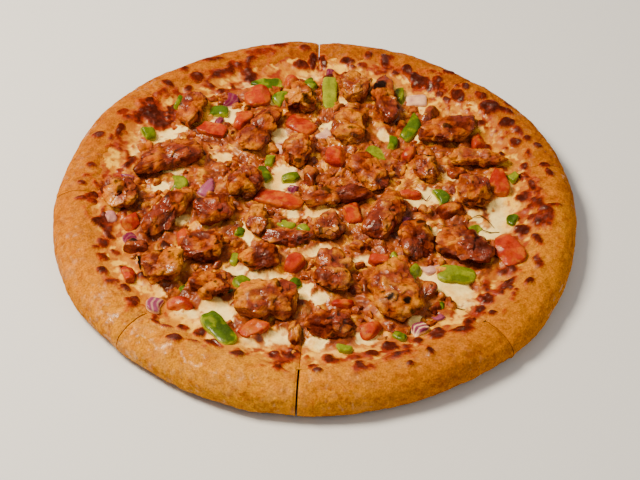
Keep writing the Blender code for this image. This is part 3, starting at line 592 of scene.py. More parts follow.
def crustPaint(points):
    # golden, toasted towards the back and at a spot in front, partly real browning and partly painted shade,
    # paler where the light falls as painted light, darker at the foot as painted shade, mottled and specked
    # by noise, with the heat on top; the bearings are degrees round the middle
    look = crustLook
    x, y, z = np.moveaxis(points, -1, 0)
    bearing = np.degrees(np.arctan2(y, x)) % 360
    mottle = fractal(points, 6, 4, 2)
    fine = fractal(points, 2.0, 2, 8)
    back = np.cos(np.radians(bearing - look["backBearing"]))
    # browner towards the back and at a spot in front, with noise: partly real toasting and partly painted
    # shade
    toastAndShade = 0.22 + 0.36 * back + 0.4 * bell(bearing, *look["toastedSpot"]) + 0.3 * mottle + 0.3 * fine
    pale = bell(bearing, *look["paleFront"]) + 0.5 * bell(bearing, *look["paleSide"])
    specks = smooth(0.3, 0.7, noise(points, 1.8, 21) + 0.3 * noise(points, 20, 5))
    # darker at the foot near the floor, most towards the front right: painted shade
    footShade = smooth(6, 1, z + 2 * mottle) * (0.45 + 0.4 * np.cos(np.radians(bearing - look["footShadeBearing"])))
    colours = coats(look["golden"], (look["toastAndShade"], toastAndShade),
                    (look["pale"], pale * (0.85 + 0.6 * mottle + 0.5 * fine)),
                    (look["toastAndShade"], 0.5 * specks), (look["dark"], footShade))
    heat = heatOf(x, y) * smooth(8, 14, z)
    return heatPaint(colours, heat, 0 * heat)


def crustShine(points):
    # oily patches at the front, small oily spots all round and glints on the blisters, fading at the foot
    x, y, z = np.moveaxis(points, -1, 0)
    bearing = np.degrees(np.arctan2(y, x)) % 360
    oily = bell(bearing, *crustLook["oilyFront"]) * smooth(-0.1, 0.5, fractal(points, 7, 3, 31))
    oily = oily * (0.3 + 0.7 * smooth(-0.1, 0.4, noise(points, 2.0, 32)))
    spots = 0.75 * smooth(0.25, 0.6, noise(points, 1.8, 38)) * smooth(-0.3, 0.4, noise(points, 15, 39))
    glints = 0.05 + 0.75 * smooth(0.2, 0.6, noise(points, 2.4, 33))
    shine = np.maximum(np.maximum(oily, spots), glints * heatOf(x, y))
    return np.clip(shine * smooth(4, 10, z), 0, 1)


def makeDough(number):
    # rings about the middle, met by the slice's rays: a smooth rise to the crest, then a rounded wall down to
    # the foot; pushed along its normals by noise and heat, opened at the cuts, and slid outwards a little
    look = crustLook
    bearings = fanBearings(number, look["columns"])
    topRho = np.linspace(look["innerRadius"], pizza["rimTop"], look["topRows"])
    turns = np.radians(np.linspace(*look["wallTurns"], look["wallRows"]))[:, None]
    wallDepth = pizza["radius"] - pizza["rimTop"]
    wallRho = pizza["rimTop"] + wallDepth * np.cos(turns[:, 0]) ** pizza["wallBulge"]
    rings = np.concatenate([topRho, wallRho])
    plan = np.stack([rayPlan(bearings, rho) for rho in rings])
    share = smooth(0.6 * pizza["radius"], pizza["radius"], rings)[:, None]
    plan = plan * (1 + (outlineRadius(bearingOf(plan)) / pizza["radius"] - 1) * share)[..., None]
    theta = bearingOf(plan)
    height = doughTop(rings[:, None], theta)
    crest = rimHeight(theta[look["topRows"]:]) - pizza["wallHeight"]
    upper = pizza["wallHeight"] + crest * np.sin(np.maximum(turns, 0)) ** pizza["crestRound"]
    lower = pizza["wallHeight"] * (1 - np.sin(np.maximum(-turns, 0)) ** pizza["footRound"])
    height[look["topRows"]:] = np.where(turns > 0, upper, lower)
    grid = np.concatenate([plan, height[..., None]], axis=-1)
    x, y, z = np.moveaxis(grid, -1, 0)
    rho = np.hypot(x, y)
    waves = sum(depth * noise(grid, size, 3 + n) for n, (size, depth) in enumerate(look["waves"]))
    blisters = look["blisterRise"] * heatOf(x, y) * smooth(150, 138, rho) * smooth(9, 16, z)
    grid = push(grid, waves * smooth(0, 3, z) - look["drawIn"] * smooth(138, 148, rho) + blisters)
    grid[..., 2] = np.maximum(grid[..., 2], 0)
    grid = openCuts(grid, number, cuts["gap"], cuts["crease"], 0)
    middle = (bearings[0] + bearings[-1]) / 2
    grid[..., :2] += pizza["slide"][number] * np.array((math.cos(middle), math.sin(middle)))
    points, faces = closeWedge(grid, (*hub, pizza["bedHeight"]), (*hub, 0))
    piece = makePiece(f"doughSlice{number + 1}", points, faces, crustPaint(points), crustShine(points),
                      "crust", "dough", (f"dough_slice_{number + 1}",))
    piece.data.set_sharp_from_angle(angle=math.radians(cuts["sharpAngle"]))


# toppings: closed blocks about their middles, in one set of directions for each fineness

def cubeDirections(count):
    # unit directions on the six sheets of a cube, each a grid eased by a tangent, joined at their edges
    side = np.tan(np.linspace(-1, 1, count + 1) * math.pi / 4)
    u, v = np.meshgrid(side, side, indexing="ij")
    one = np.ones_like(u)
    sheets = ((u, v, one), (v, u, -one), (one, u, v), (-one, v, u), (v, one, u), (u, -one, v))
    points = np.concatenate([np.stack(sheet, axis=-1).reshape(-1, 3) for sheet in sheets])
    points /= np.linalg.norm(points, axis=1)[:, None]
    quads = np.concatenate([gridFaces(count + 1, count + 1) + k * (count + 1) ** 2 for k in range(6)])
    unique, place = np.unique(points.round(6), axis=0, return_inverse=True)
    return unique, place.ravel()[quads]


# the toppings' common form, and each kind's own, with a cut for the small cuts of pepper and onion: where
# two press together, the softer one gives way more
blockForm = {
    "lumps": 7, "lumpTightness": 4, "waistWidth": 0.35, "facetReach": (0.74, 0.95), "planPower": 2.6,
    "openBase": 0.45, "sunkBase": 0.1, "gap": 0.3, "leastShare": 0.2, "slack": 6, "far": 99.0, "near": 45,
}
forms = {
    "chicken": {"softness": 1.0, "roundness": 2.7, "lumpiness": 0.13, "facets": 9, "seed": 100},
    "tomato": {"softness": 2.0, "roundness": 3.4, "lumpiness": 0.06, "facets": 6, "seed": 200},
    "pepper": {"softness": 2.0, "roundness": 3.6, "lumpiness": 0.05, "facets": 0, "seed": 300},
    "bit": {"softness": 4.0, "roundness": 3.2, "lumpiness": 0.06, "facets": 5, "seed": 400, "sink": 0.8},
    "cut": {"roundness": 4.0, "facets": 3, "seed": 500, "bend": 0.6, "bendTurn": 2.4},
}


def layTopping(kind, place, seed, sink=0.0, node=None, power=None, facets=0, bend=0.0):
    # all that is known of a topping before its mesh: its middle, half sizes, turn and form
    x, y, length, width, turn, height = place[:6]
    height += sink
    baseShare = blockForm["sunkBase"] if sink else blockForm["openBase"]
    return {"kind": kind, "seed": seed, "sink": sink, "node": node, "height": height,
            "baseShare": baseShare, "power": power or forms[kind]["roundness"], "facets": facets,
            "bend": bend, "waist": place[6] if len(place) > 6 else 0, "turn": math.radians(turn),
            "half": np.array((length / 2, width / 2, height * (1 - baseShare))),
            "middle": np.array((x, y, 0.0)), "planes": []}


def shapeOf(topping, directions):
    # a superellipsoid with seeded lumps and a waist, cut by flat facets, bent, flat below, and turned about
    # its middle; with it, how far each point is from a seam between two facets, and its facet's own tone
    draw = np.random.default_rng(topping["seed"])
    power = topping["power"]
    reach = np.sum(np.abs(directions) ** power, axis=1) ** (-1 / power)
    lumps = draw.normal(size=(blockForm["lumps"], 3))
    lumps /= np.linalg.norm(lumps, axis=1)[:, None]
    sizes = draw.uniform(-1, 1, len(lumps)) * forms[topping["kind"]]["lumpiness"]
    swells = np.exp(blockForm["lumpTightness"] * (directions @ lumps.T - 1))
    reach = reach * (1 + (swells * sizes).sum(axis=1))
    reach = reach * (1 - topping["waist"] * bell(directions[:, 0], 0, blockForm["waistWidth"]))
    sides = [reach]
    for _ in range(topping["facets"]):
        normal = draw.normal(size=3)
        facing = directions @ (normal / np.linalg.norm(normal))
        sides.append(draw.uniform(*blockForm["facetReach"]) / np.maximum(facing, 0.01))
    sides = np.array(sides)
    tone = draw.uniform(-1, 1, len(sides))[sides.argmin(axis=0)]
    reach = sides.min(axis=0)
    seam = np.partition(sides, 1, axis=0)[1] - reach if topping["facets"] else reach
    points = directions * reach[:, None] * topping["half"]
    points[:, 1] += topping["bend"] * topping["half"][1] * ((points[:, 0] / topping["half"][0]) ** 2 - 0.4)
    points[:, 2] = np.maximum(points[:, 2], -topping["baseShare"] * topping["height"])
    cosine, sine = math.cos(topping["turn"]), math.sin(topping["turn"])
    x = points[:, 0] * cosine - points[:, 1] * sine
    y = points[:, 0] * sine + points[:, 1] * cosine
    z = points[:, 2]
    if topping["sink"]:
        middleX, middleY = topping["middle"][:2]
        z = z + cheeseTop(x + middleX, y + middleY) - cheeseTop(middleX, middleY)
    return np.column_stack([x, y, z]), seam, tone


coarseDirections = cubeDirections(6)[0]


def setDown(topping):
    # a piece with a node goes where the node's top is, and a bit goes into the cheese
    if topping["node"]:
        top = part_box(topping["node"])[1].z / mm
        topping["middle"][2] = top - shapeOf(topping, coarseDirections)[0][:, 2].max()
    else:
        x, y = topping["middle"][:2]
        topping["middle"][2] = cheeseTop(x, y) - topping["sink"] + topping["height"] * topping["baseShare"]


def partPair(first, second):
    # where two pieces meet, each keeps to its own side of a plane between them, with a gap
    gap = blockForm["gap"]
    apart = second["middle"] - first["middle"]
    distance = np.linalg.norm(apart)
    if distance > first["half"].max() + second["half"].max() + blockForm["slack"]:
        return
    normal = apart / distance
    reachFirst = (shapeOf(first, coarseDirections)[0] @ normal).max()
    reachSecond = (shapeOf(second, coarseDirections)[0] @ -normal).max()
    excess = reachFirst + reachSecond + gap - distance
    if excess <= 0:
        return
    free = distance - gap
    firstSoftness, secondSoftness = (forms[topping["kind"]]["softness"] for topping in (first, second))
    give = firstSoftness / (firstSoftness + secondSoftness)
    least = blockForm["leastShare"]
    stay = np.clip(reachFirst - excess * give, least * free, (1 - least) * free)
    first["planes"].append((normal, normal @ first["middle"] + stay))
    second["planes"].append((-normal, -normal @ second["middle"] + free - stay))


def pressIn(points, topping):
    # every point drawn towards the middle until it clears each plane
    for normal, offset in topping["planes"]:
        room = offset - normal @ topping["middle"]
        out = points @ normal
        points = points * (room / np.maximum(out, room))[:, None]
    return points


def footprint(x, y, topping):
    # distance in mm outside a topping's plan outline, a superellipse, and negative inside
    power = blockForm["planPower"]
    cosine, sine = math.cos(topping["turn"]), math.sin(topping["turn"])
    offX, offY = x - topping["middle"][0], y - topping["middle"][1]
    along = np.abs(offX * cosine + offY * sine) / topping["half"][0]
    across = np.abs(offY * cosine - offX * sine) / topping["half"][1]
    return ((along ** power + across ** power) ** (1 / power) - 1) * topping["half"][:2].min()


def nearest(x, y, toppings):
    # distance outside the nearest topping's outline, worked out only where the topping is near
    found = np.full(np.shape(x), blockForm["far"])
    for topping in toppings:
        middleX, middleY = topping["middle"][:2]
        near = (np.abs(x - middleX) < blockForm["near"]) & (np.abs(y - middleY) < blockForm["near"])
        found[near] = np.minimum(found[near], footprint(x[near], y[near], topping))
    return found


def bitsOf(kind):
    # the bits of one kind
    return [bit for bit, own in zip(bits, bitKinds) if own == kind]


kinds = {"chicken": chickenPlaces, "tomato": tomatoPlaces, "pepper": pepperPlaces}
chunks = [layTopping(kind, place, forms[kind]["seed"] + n, node=f"{kind}_{n + 1}",
                     facets=forms[kind]["facets"])
          for kind, places in kinds.items() for n, place in enumerate(places)]
bitForm, cutForm = forms["bit"], forms["cut"]
bits = [layTopping("bit", place, bitForm["seed"] + n, bitForm["sink"], facets=bitForm["facets"])
        for n, place in enumerate(chickenBits + tomatoBits)]
bits += [layTopping("bit", place, cutForm["seed"] + n, bitForm["sink"], power=cutForm["roundness"],
                    facets=cutForm["facets"], bend=cutForm["bend"] * math.sin(cutForm["bendTurn"] * n))
         for n, place in enumerate(pepperBits + onionBits)]
bitKinds = ["chicken"] * len(chickenBits) + ["tomato"] * len(tomatoBits)
bitKinds += ["pepper"] * len(pepperBits) + ["onion"] * len(onionBits)
for topping in chunks + bits:
    setDown(topping)
for n, chunk in enumerate(chunks):
    for other in chunks[n + 1:] + bits:
        partPair(chunk, other)
meats = [chunk for chunk in chunks if chunk["kind"] == "chicken"] + bitsOf("chicken")

# scraps of chicken and gravy between the chunks, where no clean cheese shows
scrapLook = {
    "tries": 3200, "reach": 112.0, "size": (7.0, 15.0), "width": (0.55, 0.8), "height": (2.0, 4.6),
    "sink": 2.5, "clearance": 1.0, "spacing": 0.28, "strength": 1.0, "roundness": 2.4, "facets": 7,
    "seed": 17, "firstSeed": 700,
}


def scatterScraps():
    # random spots, even over the disc, kept where no topping, bare cheese or earlier scrap is in the way
    look = scrapLook
    draw = np.random.default_rng(look["seed"])
    rho = look["reach"] * np.sqrt(draw.uniform(0, 1, look["tries"]))
    theta = draw.uniform(0, 2 * math.pi, look["tries"])
    x, y = rho * np.cos(theta), rho * np.sin(theta)
    clear = nearest(x, y, chunks + bits) > look["clearance"]
    clear &= blobs(x, y, barePatches, 0) < 0.1
    scraps = []
    for spot in zip(x[clear], y[clear]):
        length = draw.uniform(*look["size"])
        room = [look["spacing"] * (length + 2 * scrap["half"][0]) for scrap in scraps]
        if any(math.dist(spot, scrap["middle"][:2]) < need for scrap, need in zip(scraps, room)):
            continue
        place = (*spot, length, length * draw.uniform(*look["width"]), draw.uniform(0, 180),
                 draw.uniform(*look["height"]))
        scraps.append(layTopping("bit", place, look["firstSeed"] + len(scraps), look["sink"],
                                 power=look["roundness"], facets=look["facets"]))
    for scrap in scraps:
        setDown(scrap)
    return scraps


scraps = scatterScraps()
print("pan pizza:", len(chunks), "chunks,", len(bits), "bits,", len(scraps), "scraps laid out")

# cheese
cheeseLook = {
    "rows": 180, "columns": 150, "waves": ((13, 0.35), (6, 0.35), (3, 0.2), (1.6, 0.08)),
    "hug": 1.8, "hugWidth": 1.9, "bitHug": 0.5, "bitHugWidth": 1.2, "edgeDrop": 0.4,
    "blisterRise": 2.1, "gravyLumps": 1.7, "gravyCell": 4.4,
    "under": 0.6, "underInset": 2, "underRadius": 120, "tipRise": 0.8,
}


def cheeseFields(points):
    # how much gravy, heat, red stain and bare cheese there is over the plan: the gravy falls off away from
    # the meat and keeps out of the bare patches, and noise breaks up the edges of all of them
    x, y = points[..., 0], points[..., 1]
    rho = np.hypot(x, y)
    plan = flat(x, y)
    meat = nearest(x, y, meats + scraps)
    bare = blobs(x, y, barePatches, 0.45, 4)
    gravy = 0.5 + 0.6 * np.exp(-np.maximum(meat, 0) / 4) + 0.55 * fractal(plan, 11, 4, 9) - 1.4 * bare
    stain = 0.7 * smooth(0.15, 0.6, fractal(plan, 9, 3, 19))
    red = blobs(x, y, redPlaces, 0.6, 6) + stain * smooth(108, 114, rho) * smooth(132, 124, rho)
    red = red * (0.35 + 0.9 * smooth(-0.15, 0.35, fractal(plan, 4, 4, 77)))
    return {"rho": rho, "plan": plan, "bare": bare, "gravy": np.clip(gravy, 0, 1) * smooth(118, 107, rho),
            "heat": heatOf(x, y) * (1 - bare), "red": np.clip(red, 0, 1),
            "lump": cells(plan, cheeseLook["gravyCell"], 30)}


def cheesePaint(points, fields):
    # cream in the middle, and butter, gold and orange towards the rim, with stains and flecks; over it the
    # gravy in its own mix of tints, darker in the crevices between its lumps as painted shade, then the heat,
    # and the crust's paint where the cheese ends
    plan, gravy, red, tints = fields["plan"], fields["gravy"], fields["red"], cheeseTints
    _, edge, value = fields["lump"]
    toRim = fields["rho"] + 6 * fractal(plan, 13, 3, 14) - 4 * fields["bare"]
    stain = smooth(0.0, 0.4, fractal(plan, 5, 3, 16)) * smooth(101, 110, toRim)
    border = smooth(103, 112, toRim)
    fleck = smooth(0.4, 0.7, noise(plan, 2.4, 35)) * smooth(-0.2, 0.5, noise(plan, 14, 36))
    colours = coats(tints["cream"],
                    (tints["butter"], 0.6 * smooth(-0.1, 0.6, fractal(plan, 9, 4, 15))),
                    (tints["butter"], 0.8 * smooth(105, 114, toRim)),
                    (tints["gold"], smooth(112, 121, toRim)),
                    (tints["orange"], 0.4 * smooth(119, 128, toRim)),
                    (tints["orange"], 0.75 * stain),
                    (tints["amber"], 0.6 * border * smooth(0.1, 0.5, fractal(plan, 3, 3, 17))),
                    (tints["pale"], 0.8 * border * smooth(0.1, 0.5, fractal(plan, 4, 3, 18))),
                    (tints["orange"], 0.7 * fleck),
                    (tints["orange"], 0.8 * smooth(0.1, 0.4, gravy)))
    tone = 0.25 * value + fractal(plan, 5.5, 4, 33)
    sauce = coats(tints["gravy"],
                  (tints["orange"], 0.9 * smooth(-0.05, 0.5, tone)),
                  (tints["butter"], 0.8 * smooth(0.4, 0.85, tone)),
                  (tints["deep"], 0.9 * smooth(0.15, 0.8, -tone)),
                  # darker in the crevices between the gravy's lumps: painted shade
                  (tints["deep"], 0.4 * smooth(0.15, 0.0, edge)))
    colours = mixIn(colours, sauce, smooth(0.3, 0.75, gravy))
    colours = heatPaint(colours, fields["heat"], smooth(0.25, 0.75, red))
    merge = smooth(-6, -0.5, fields["rho"] - cheeseEdge(bearingOf(points))) * (1 - 0.5 * red)
    return mixIn(colours, crustPaint(points), merge)


def makeCheese(number):
    # rows at growing shares of the way from the hub to the cheese's edge, at the cheese's height, raised by
    # noise, lumps of gravy, blisters and a rise beside each topping, opened at the cuts, and closed below
    look = cheeseLook
    bearings = fanBearings(number, look["columns"])
    edge = cheeseEdge(bearingOf(rayPlan(bearings, pizza["cheeseEdge"])))
    share = np.linspace(0, 1, look["rows"] + 1)[1:, None]
    plan = rayPlan(bearings, edge, share[..., None])
    x, y = plan[..., 0], plan[..., 1]
    rim = doughTop(np.hypot(x, y), bearingOf(plan))
    height = rim + (cheeseTop(x, y) - rim) * smooth(1.0, 0.88, share)
    height = height - look["edgeDrop"] * smooth(0.98, 1, share)
    grid = np.concatenate([plan, height[..., None]], axis=-1)
    fields = cheeseFields(grid)
    spots = fields["plan"]
    waves = sum(depth * noise(spots, size, 40 + n) for n, (size, depth) in enumerate(look["waves"]))
    outside = np.maximum(nearest(x, y, chunks), 0)
    outsideBits = np.maximum(nearest(x, y, bits + scraps), 0)
    hug = np.maximum(look["hug"] * bell(outside, 0, look["hugWidth"]),
                     look["bitHug"] * bell(outsideBits, 0, look["bitHugWidth"]))
    near, _, value = fields["lump"]
    lumps = 0.45 + 0.4 * value * (1 - near) + fractal(spots, 5, 5, 50)
    lumps = look["gravyLumps"] * fields["gravy"] * lumps
    blisters = look["blisterRise"] * fields["heat"] ** 0.8 * (0.75 + 0.5 * fractal(spots, 3, 2, 55))
    grid[..., 2] += (waves + hug + lumps + blisters) * smooth(1.0, 0.94, share)
    grid = openCuts(grid, number, cuts["cheeseGap"], cuts["cheeseCrease"], cuts["cheeseStart"])
    below = []
    for rho in (cheeseEdge(0) - look["underInset"], look["underRadius"], pizza["bedRadius"]):
        plan = rayPlan(bearings, rho)
        below.append(flat(plan[:, 0], plan[:, 1], doughTop(rho, bearingOf(plan)) - look["under"]))
    tipHeight = float(cheeseTop(*hub)) + look["tipRise"]
    points, faces = closeWedge(np.concatenate([grid, below]), (*hub, tipHeight), (*hub, pizza["bedHeight"]))
    fields = cheeseFields(points)
    glints = 0.6 * smooth(0.15, 0.5, noise(points, 2.2, 34)) - 0.6
    shine = 0.55 + 0.4 * fractal(points, 6, 3, 60) + 0.15 * fields["gravy"] + glints * fields["heat"]
    piece = makePiece(f"cheeseSlice{number + 1}", points, faces, cheesePaint(points, fields),
                      np.clip(shine, 0, 1), "cheese", "cheese", (f"cheese_slice_{number + 1}",))
    piece.data.set_sharp_from_angle(angle=math.radians(cuts["sharpAngle"]))


# chunks of chicken; a chunk's own tone, by its seed, is how light it is as a whole
chickenLook = {
    "fineness": 36, "bitFineness": 14, "scrapFineness": 12, "bitStrength": 0.6,
    "lumpSize": 8.0, "lumpDepth": 1.5, "knobSize": 4.0, "knobDepth": 0.85, "torn": 1.2, "crease": 0.3,
    "dark": tint(108, 32, 14), "brown": tint(192, 80, 20), "orange": tint(234, 126, 20),
    "light": tint(246, 170, 8), "glaze": tint(168, 54, 20), "char": tint(38, 18, 12),
    "toneRange": (-0.12, 0.34),
    "ownTones": {100: 0.2, 101: -0.35, 106: -0.25, 107: 0.25, 114: 0.35, 116: 0.35, 118: 0.3, 119: 0.45,
                 123: -0.1, 124: 0.45, 127: -0.15, 129: 0.2},
}


def meatRelief(points, seed):
    # broad lumps, knobs and a torn, uneven skin, with creases between the lumps
    look = chickenLook
    bent = points + 1.5 * noise(points, 5, seed)[:, None]
    near, edge, value = cells(bent, look["lumpSize"], seed % 61)
    nearKnob, _, valueKnob = cells(bent, look["knobSize"], seed % 53)
    relief = look["lumpDepth"] * (0.5 - near + 0.5 * value)
    relief = relief + look["knobDepth"] * (0.5 - nearKnob + 0.5 * valueKnob)
    relief = relief + look["torn"] * fractal(points, 5, 3, seed + 5)
    crease = smooth(0.1, 0.0, edge) * smooth(-0.2, 0.3, noise(points, 9, seed + 3))
    return relief - look["crease"] * crease, crease, 0.6 * value + 0.3 * valueKnob


def charOf(points, relief, seed):
    # seeded spots on the upper parts, and the placed ones
    charred = 0.85 * smooth(0.55, 0.8, noise(points, 4, seed + 19) + 0.12 * relief)
    charred = np.maximum(charred, blobs(points[:, 0], points[:, 1], charMarks, 0.5))
    return charred * smooth(15, 18, points[:, 2])


def meatPaint(points, relief, crease, facet, seam, side, glaze, seed):
    # light on the swellings as painted light, and on some facets; dark in the hollows and the creases as
    # painted shade, and along the seams; low on the sides a glaze that is partly painted shade
    look = chickenLook
    own = look["ownTones"].get(seed, np.random.default_rng(seed).uniform(*look["toneRange"]))
    # the relief lightens the swellings and darkens the hollows: painted light and painted shade
    tone = own + 0.4 * side + 0.3 * facet + 0.7 * fractal(points, 6, 4, seed + 11) + 0.22 * relief
    ridge = smooth(0.1, 0.0, seam + 0.06 * fractal(points, 5, 3, seed + 37))
    fleck = smooth(0.45, 0.7, noise(points, 2.2, seed + 29)) * smooth(0.0, 0.8, relief + 0.3)
    return coats(look["brown"],
                 (look["orange"], smooth(-0.15, 0.35, tone)),
                 (look["light"], 0.85 * smooth(0.38, 0.9, tone)),
                 (look["dark"], 0.9 * smooth(0.05, 0.6, -tone)),
                 (look["glaze"], 0.75 * glaze * smooth(1.1, 0.3, tone)),
                 # redder and darker low on the sides: partly real glaze and partly painted shade
                 (look["glaze"], 0.45 * smooth(18, 12, points[:, 2])),
                 (look["dark"], 0.45 * ridge),
                 # dark in the creases and the hollows: painted shade
                 (look["dark"], 0.3 * crease),
                 (look["dark"], 0.6 * smooth(0.1, -1.6, relief)),
                 (look["dark"], 0.6 * fleck),
                 (look["char"], charOf(points, relief, seed)))


def joinBlocks(blocks):
    # several blocks as one list of points, faces, paint and shine
    offset, points, faces, paint, shine = 0, [], [], [], []
    for blockPoints, blockFaces, blockPaint, blockShine in blocks:
        points.append(blockPoints)
        faces += (blockFaces + offset).tolist()
        paint.append(blockPaint)
        shine.append(np.broadcast_to(blockShine, len(blockPoints)))
        offset += len(blockPoints)
    return np.concatenate(points), faces, np.concatenate(paint), np.concatenate(shine)


def bulge(points, amount):
    # moves points away from the middle by an amount in mm
    return points * (1 + amount / np.maximum(np.linalg.norm(points, axis=1), 1))[:, None]


def meatBlock(topping, directions, faces, strength):
    # a topping's form swollen by the relief and pressed against its neighbours, with patches of glaze
    seed = topping["seed"]
    shape, seam, side = shapeOf(topping, directions)
    relief, crease, facet = meatRelief(shape + topping["middle"], seed)
    points = pressIn(bulge(shape, strength * (relief - 0.4)), topping) + topping["middle"]
    glaze = smooth(-0.05, 0.4, fractal(points, 10, 3, seed + 17))
    shine = np.clip(0.1 + 0.75 * glaze + 0.6 * fractal(points, 4, 2, seed + 23), 0, 1)
    shine = shine * (1 - 0.9 * charOf(points, relief, seed))
    return points, faces, meatPaint(points, relief, crease, facet, seam, side, glaze, seed), shine


def fitTop(points, node):
    # stretched upwards from the node's foot until the highest point is at the node's top
    low, high = (corner.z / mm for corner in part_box(node))
    share = (points[:, 2] - low) / (points[:, 2].max() - low)
    points[:, 2] = low + share * (high - low)
    return points


# tomato, pepper and onion; skins and stripes go by seed: how much skin a pepper shows, how pale an onion's
# skin is, and how strong its stripes are
softLook = {
    "tomato": {"base": tint(220, 68, 16), "light": tint(238, 110, 16), "deep": tint(190, 38, 14),
               "flesh": tint(236, 140, 40)},
    "pepper": {"skin": tint(94, 126, 14), "flesh": tint(180, 186, 64), "deep": tint(50, 74, 8)},
    "onion": {"skin": tint(140, 20, 78), "lilac": tint(196, 104, 150), "flesh": tint(244, 216, 190)},
    "pepperSkins": {300: 0.15, 301: 0.6, 302: 1}, "skinRange": (0.35, 1.6),
    "onionSkins": {532: 0, 533: 0, 534: 0.8, 535: 0.2, 536: 0.1, 537: 0, 538: 0.1, 539: 1.5, 540: 1.6,
                   541: 0.8, 542: 1.4, 543: 0.9, 544: 0.4, 545: 0.5, 546: 0.8, 547: 1.7, 548: 1.4},
    "onionStripes": {544: 0.9, 541: 0.4}, "stripeShare": 0.08, "stripeTurns": 9,
    "relief": 0.6, "fineness": 18, "bitFineness": 11,
}


def tomatoPaint(points, local, seed):
    # red, with lighter, deeper and fleshy patches where three noises are high
    look = softLook["tomato"]
    return coats(look["base"],
                 (look["light"], 0.9 * smooth(-0.15, 0.4, fractal(points, 6, 4, seed))),
                 (look["deep"], 0.9 * smooth(0.0, 0.5, fractal(points, 5, 4, seed + 5))),
                 (look["flesh"], 0.6 * smooth(0.35, 0.7, fractal(points, 3.5, 3, seed + 9))))


def pepperPaint(points, local, seed):
    # skin or pale flesh on top, flesh at the cut sides, and a green core along the paler ones
    look = softLook["pepper"]
    share = softLook["pepperSkins"].get(seed, np.random.default_rng(seed).uniform(*softLook["skinRange"]))
    skin = np.clip(share, 0, 1) * smooth(0.4, 0.62, local[:, 2] + 0.1 * fractal(points, 3, 2, seed))
    core = bell(local[:, 1], 0, 0.4) * smooth(0.7, 0.3, share)
    return coats(look["flesh"], (look["skin"], skin),
                 (look["deep"], (0.2 + 0.5 * skin) * smooth(-0.3, 0.6, fractal(points, 9, 4, seed + 5))),
                 (look["skin"], 0.5 * core * smooth(-0.4, 0.3, fractal(points, 5, 2, seed + 7))),
                 (look["flesh"], 0.4 * smooth(0.1, 0.6, fractal(points, 4, 3, seed + 9))))


def onionPaint(points, local, seed):
    # purple, lilac or pale skin on top, on some with stripes along it, and white flesh at the sides
    look = softLook["onion"]
    share = softLook["onionSkins"][seed] + 0.3 * fractal(points, 6, 3, seed)
    top = coats(look["skin"], (look["lilac"], share), (look["flesh"], share - 1))
    stripes = 0.5 + 0.5 * np.sin(softLook["stripeTurns"] * local[:, 1] + 1.5 * fractal(points, 8, 2, seed))
    stripes = softLook["onionStripes"].get(seed, softLook["stripeShare"]) * smooth(0.6, 1.0, stripes)
    skin = smooth(0.2, 0.5, local[:, 2]) * (1 - stripes)
    return mixIn(look["flesh"], top, skin)


painters = {"tomato": tomatoPaint, "pepper": pepperPaint, "onion": onionPaint}


def softBlock(topping, kind, directions, faces):
    # a topping's form swollen a little by noise, pressed against its neighbours and painted by its kind
    seed = topping["seed"]
    shape = shapeOf(topping, directions)[0]
    relief = fractal(shape + topping["middle"], 5, 3, seed)
    points = pressIn(bulge(shape, softLook["relief"] * (relief - 0.3)), topping) + topping["middle"]
    paint = painters[kind](points, directions, seed)
    return points, faces, paint, np.clip(0.5 + 0.8 * fractal(points, 4, 2, seed + 3), 0, 1)


def makeToppings():
    # one piece for each node, then the bits of each kind as one piece, and the scraps as two
    fine, soft = cubeDirections(chickenLook["fineness"]), cubeDirections(softLook["fineness"])
    for chunk in chunks:
        kind, node = chunk["kind"], chunk["node"]
        block = meatBlock(chunk, *fine, 1.0) if kind == "chicken" else softBlock(chunk, kind, *soft)
        points, faces, paint, shine = block
        makePiece(node.replace("_", "Piece"), fitTop(points, node), faces.tolist(), paint, shine,
                  kind, kind, (node,))
    small = cubeDirections(softLook["bitFineness"])
    for kind, slotName in (("tomato", "tomato"), ("pepper", "pepper"), ("onion", "tomato")):
        blocks = [softBlock(bit, kind, *small) for bit in bitsOf(kind)]
        makePiece(kind + "Bits", *joinBlocks(blocks), kind, slotName)
    small = cubeDirections(chickenLook["bitFineness"])
    blocks = [meatBlock(bit, *small, chickenLook["bitStrength"]) for bit in bitsOf("chicken")]
    makePiece("chickenBits", *joinBlocks(blocks), "chicken", "chicken")
    small = cubeDirections(chickenLook["scrapFineness"])
    for part in (0, 1):
        blocks = [meatBlock(scrap, *small, scrapLook["strength"]) for scrap in scraps[part::2]]
        makePiece(f"chickenScraps{part + 1}", *joinBlocks(blocks), "chicken", "chicken")


# herb shreds: points of each one's path, x and y, with the paths that are purple
herbLook = {
    "paths": (((90, -7), (95, -5), (99, -8), (103, -16)), ((95, -17), (100, -19), (106, -18)),
              ((73, -74), (78, -78), (84, -81)), ((61, 10), (64, 6), (67, 11)), ((54, -4), (56, 0), (58, -3)),
              ((76, 3), (80, 1), (84, 3)), ((-48, -57), (-44, -58), (-41, -57))),
    "radius": 0.35, "steps": 24, "sides": 6, "lift": 0.9, "sway": 0.4, "ease": 0.62, "shine": 0.4,
    "colour": tint(96, 52, 20), "purple": tint(140, 40, 70), "purplePaths": (3, 4), "purpleShare": 0.7,
}


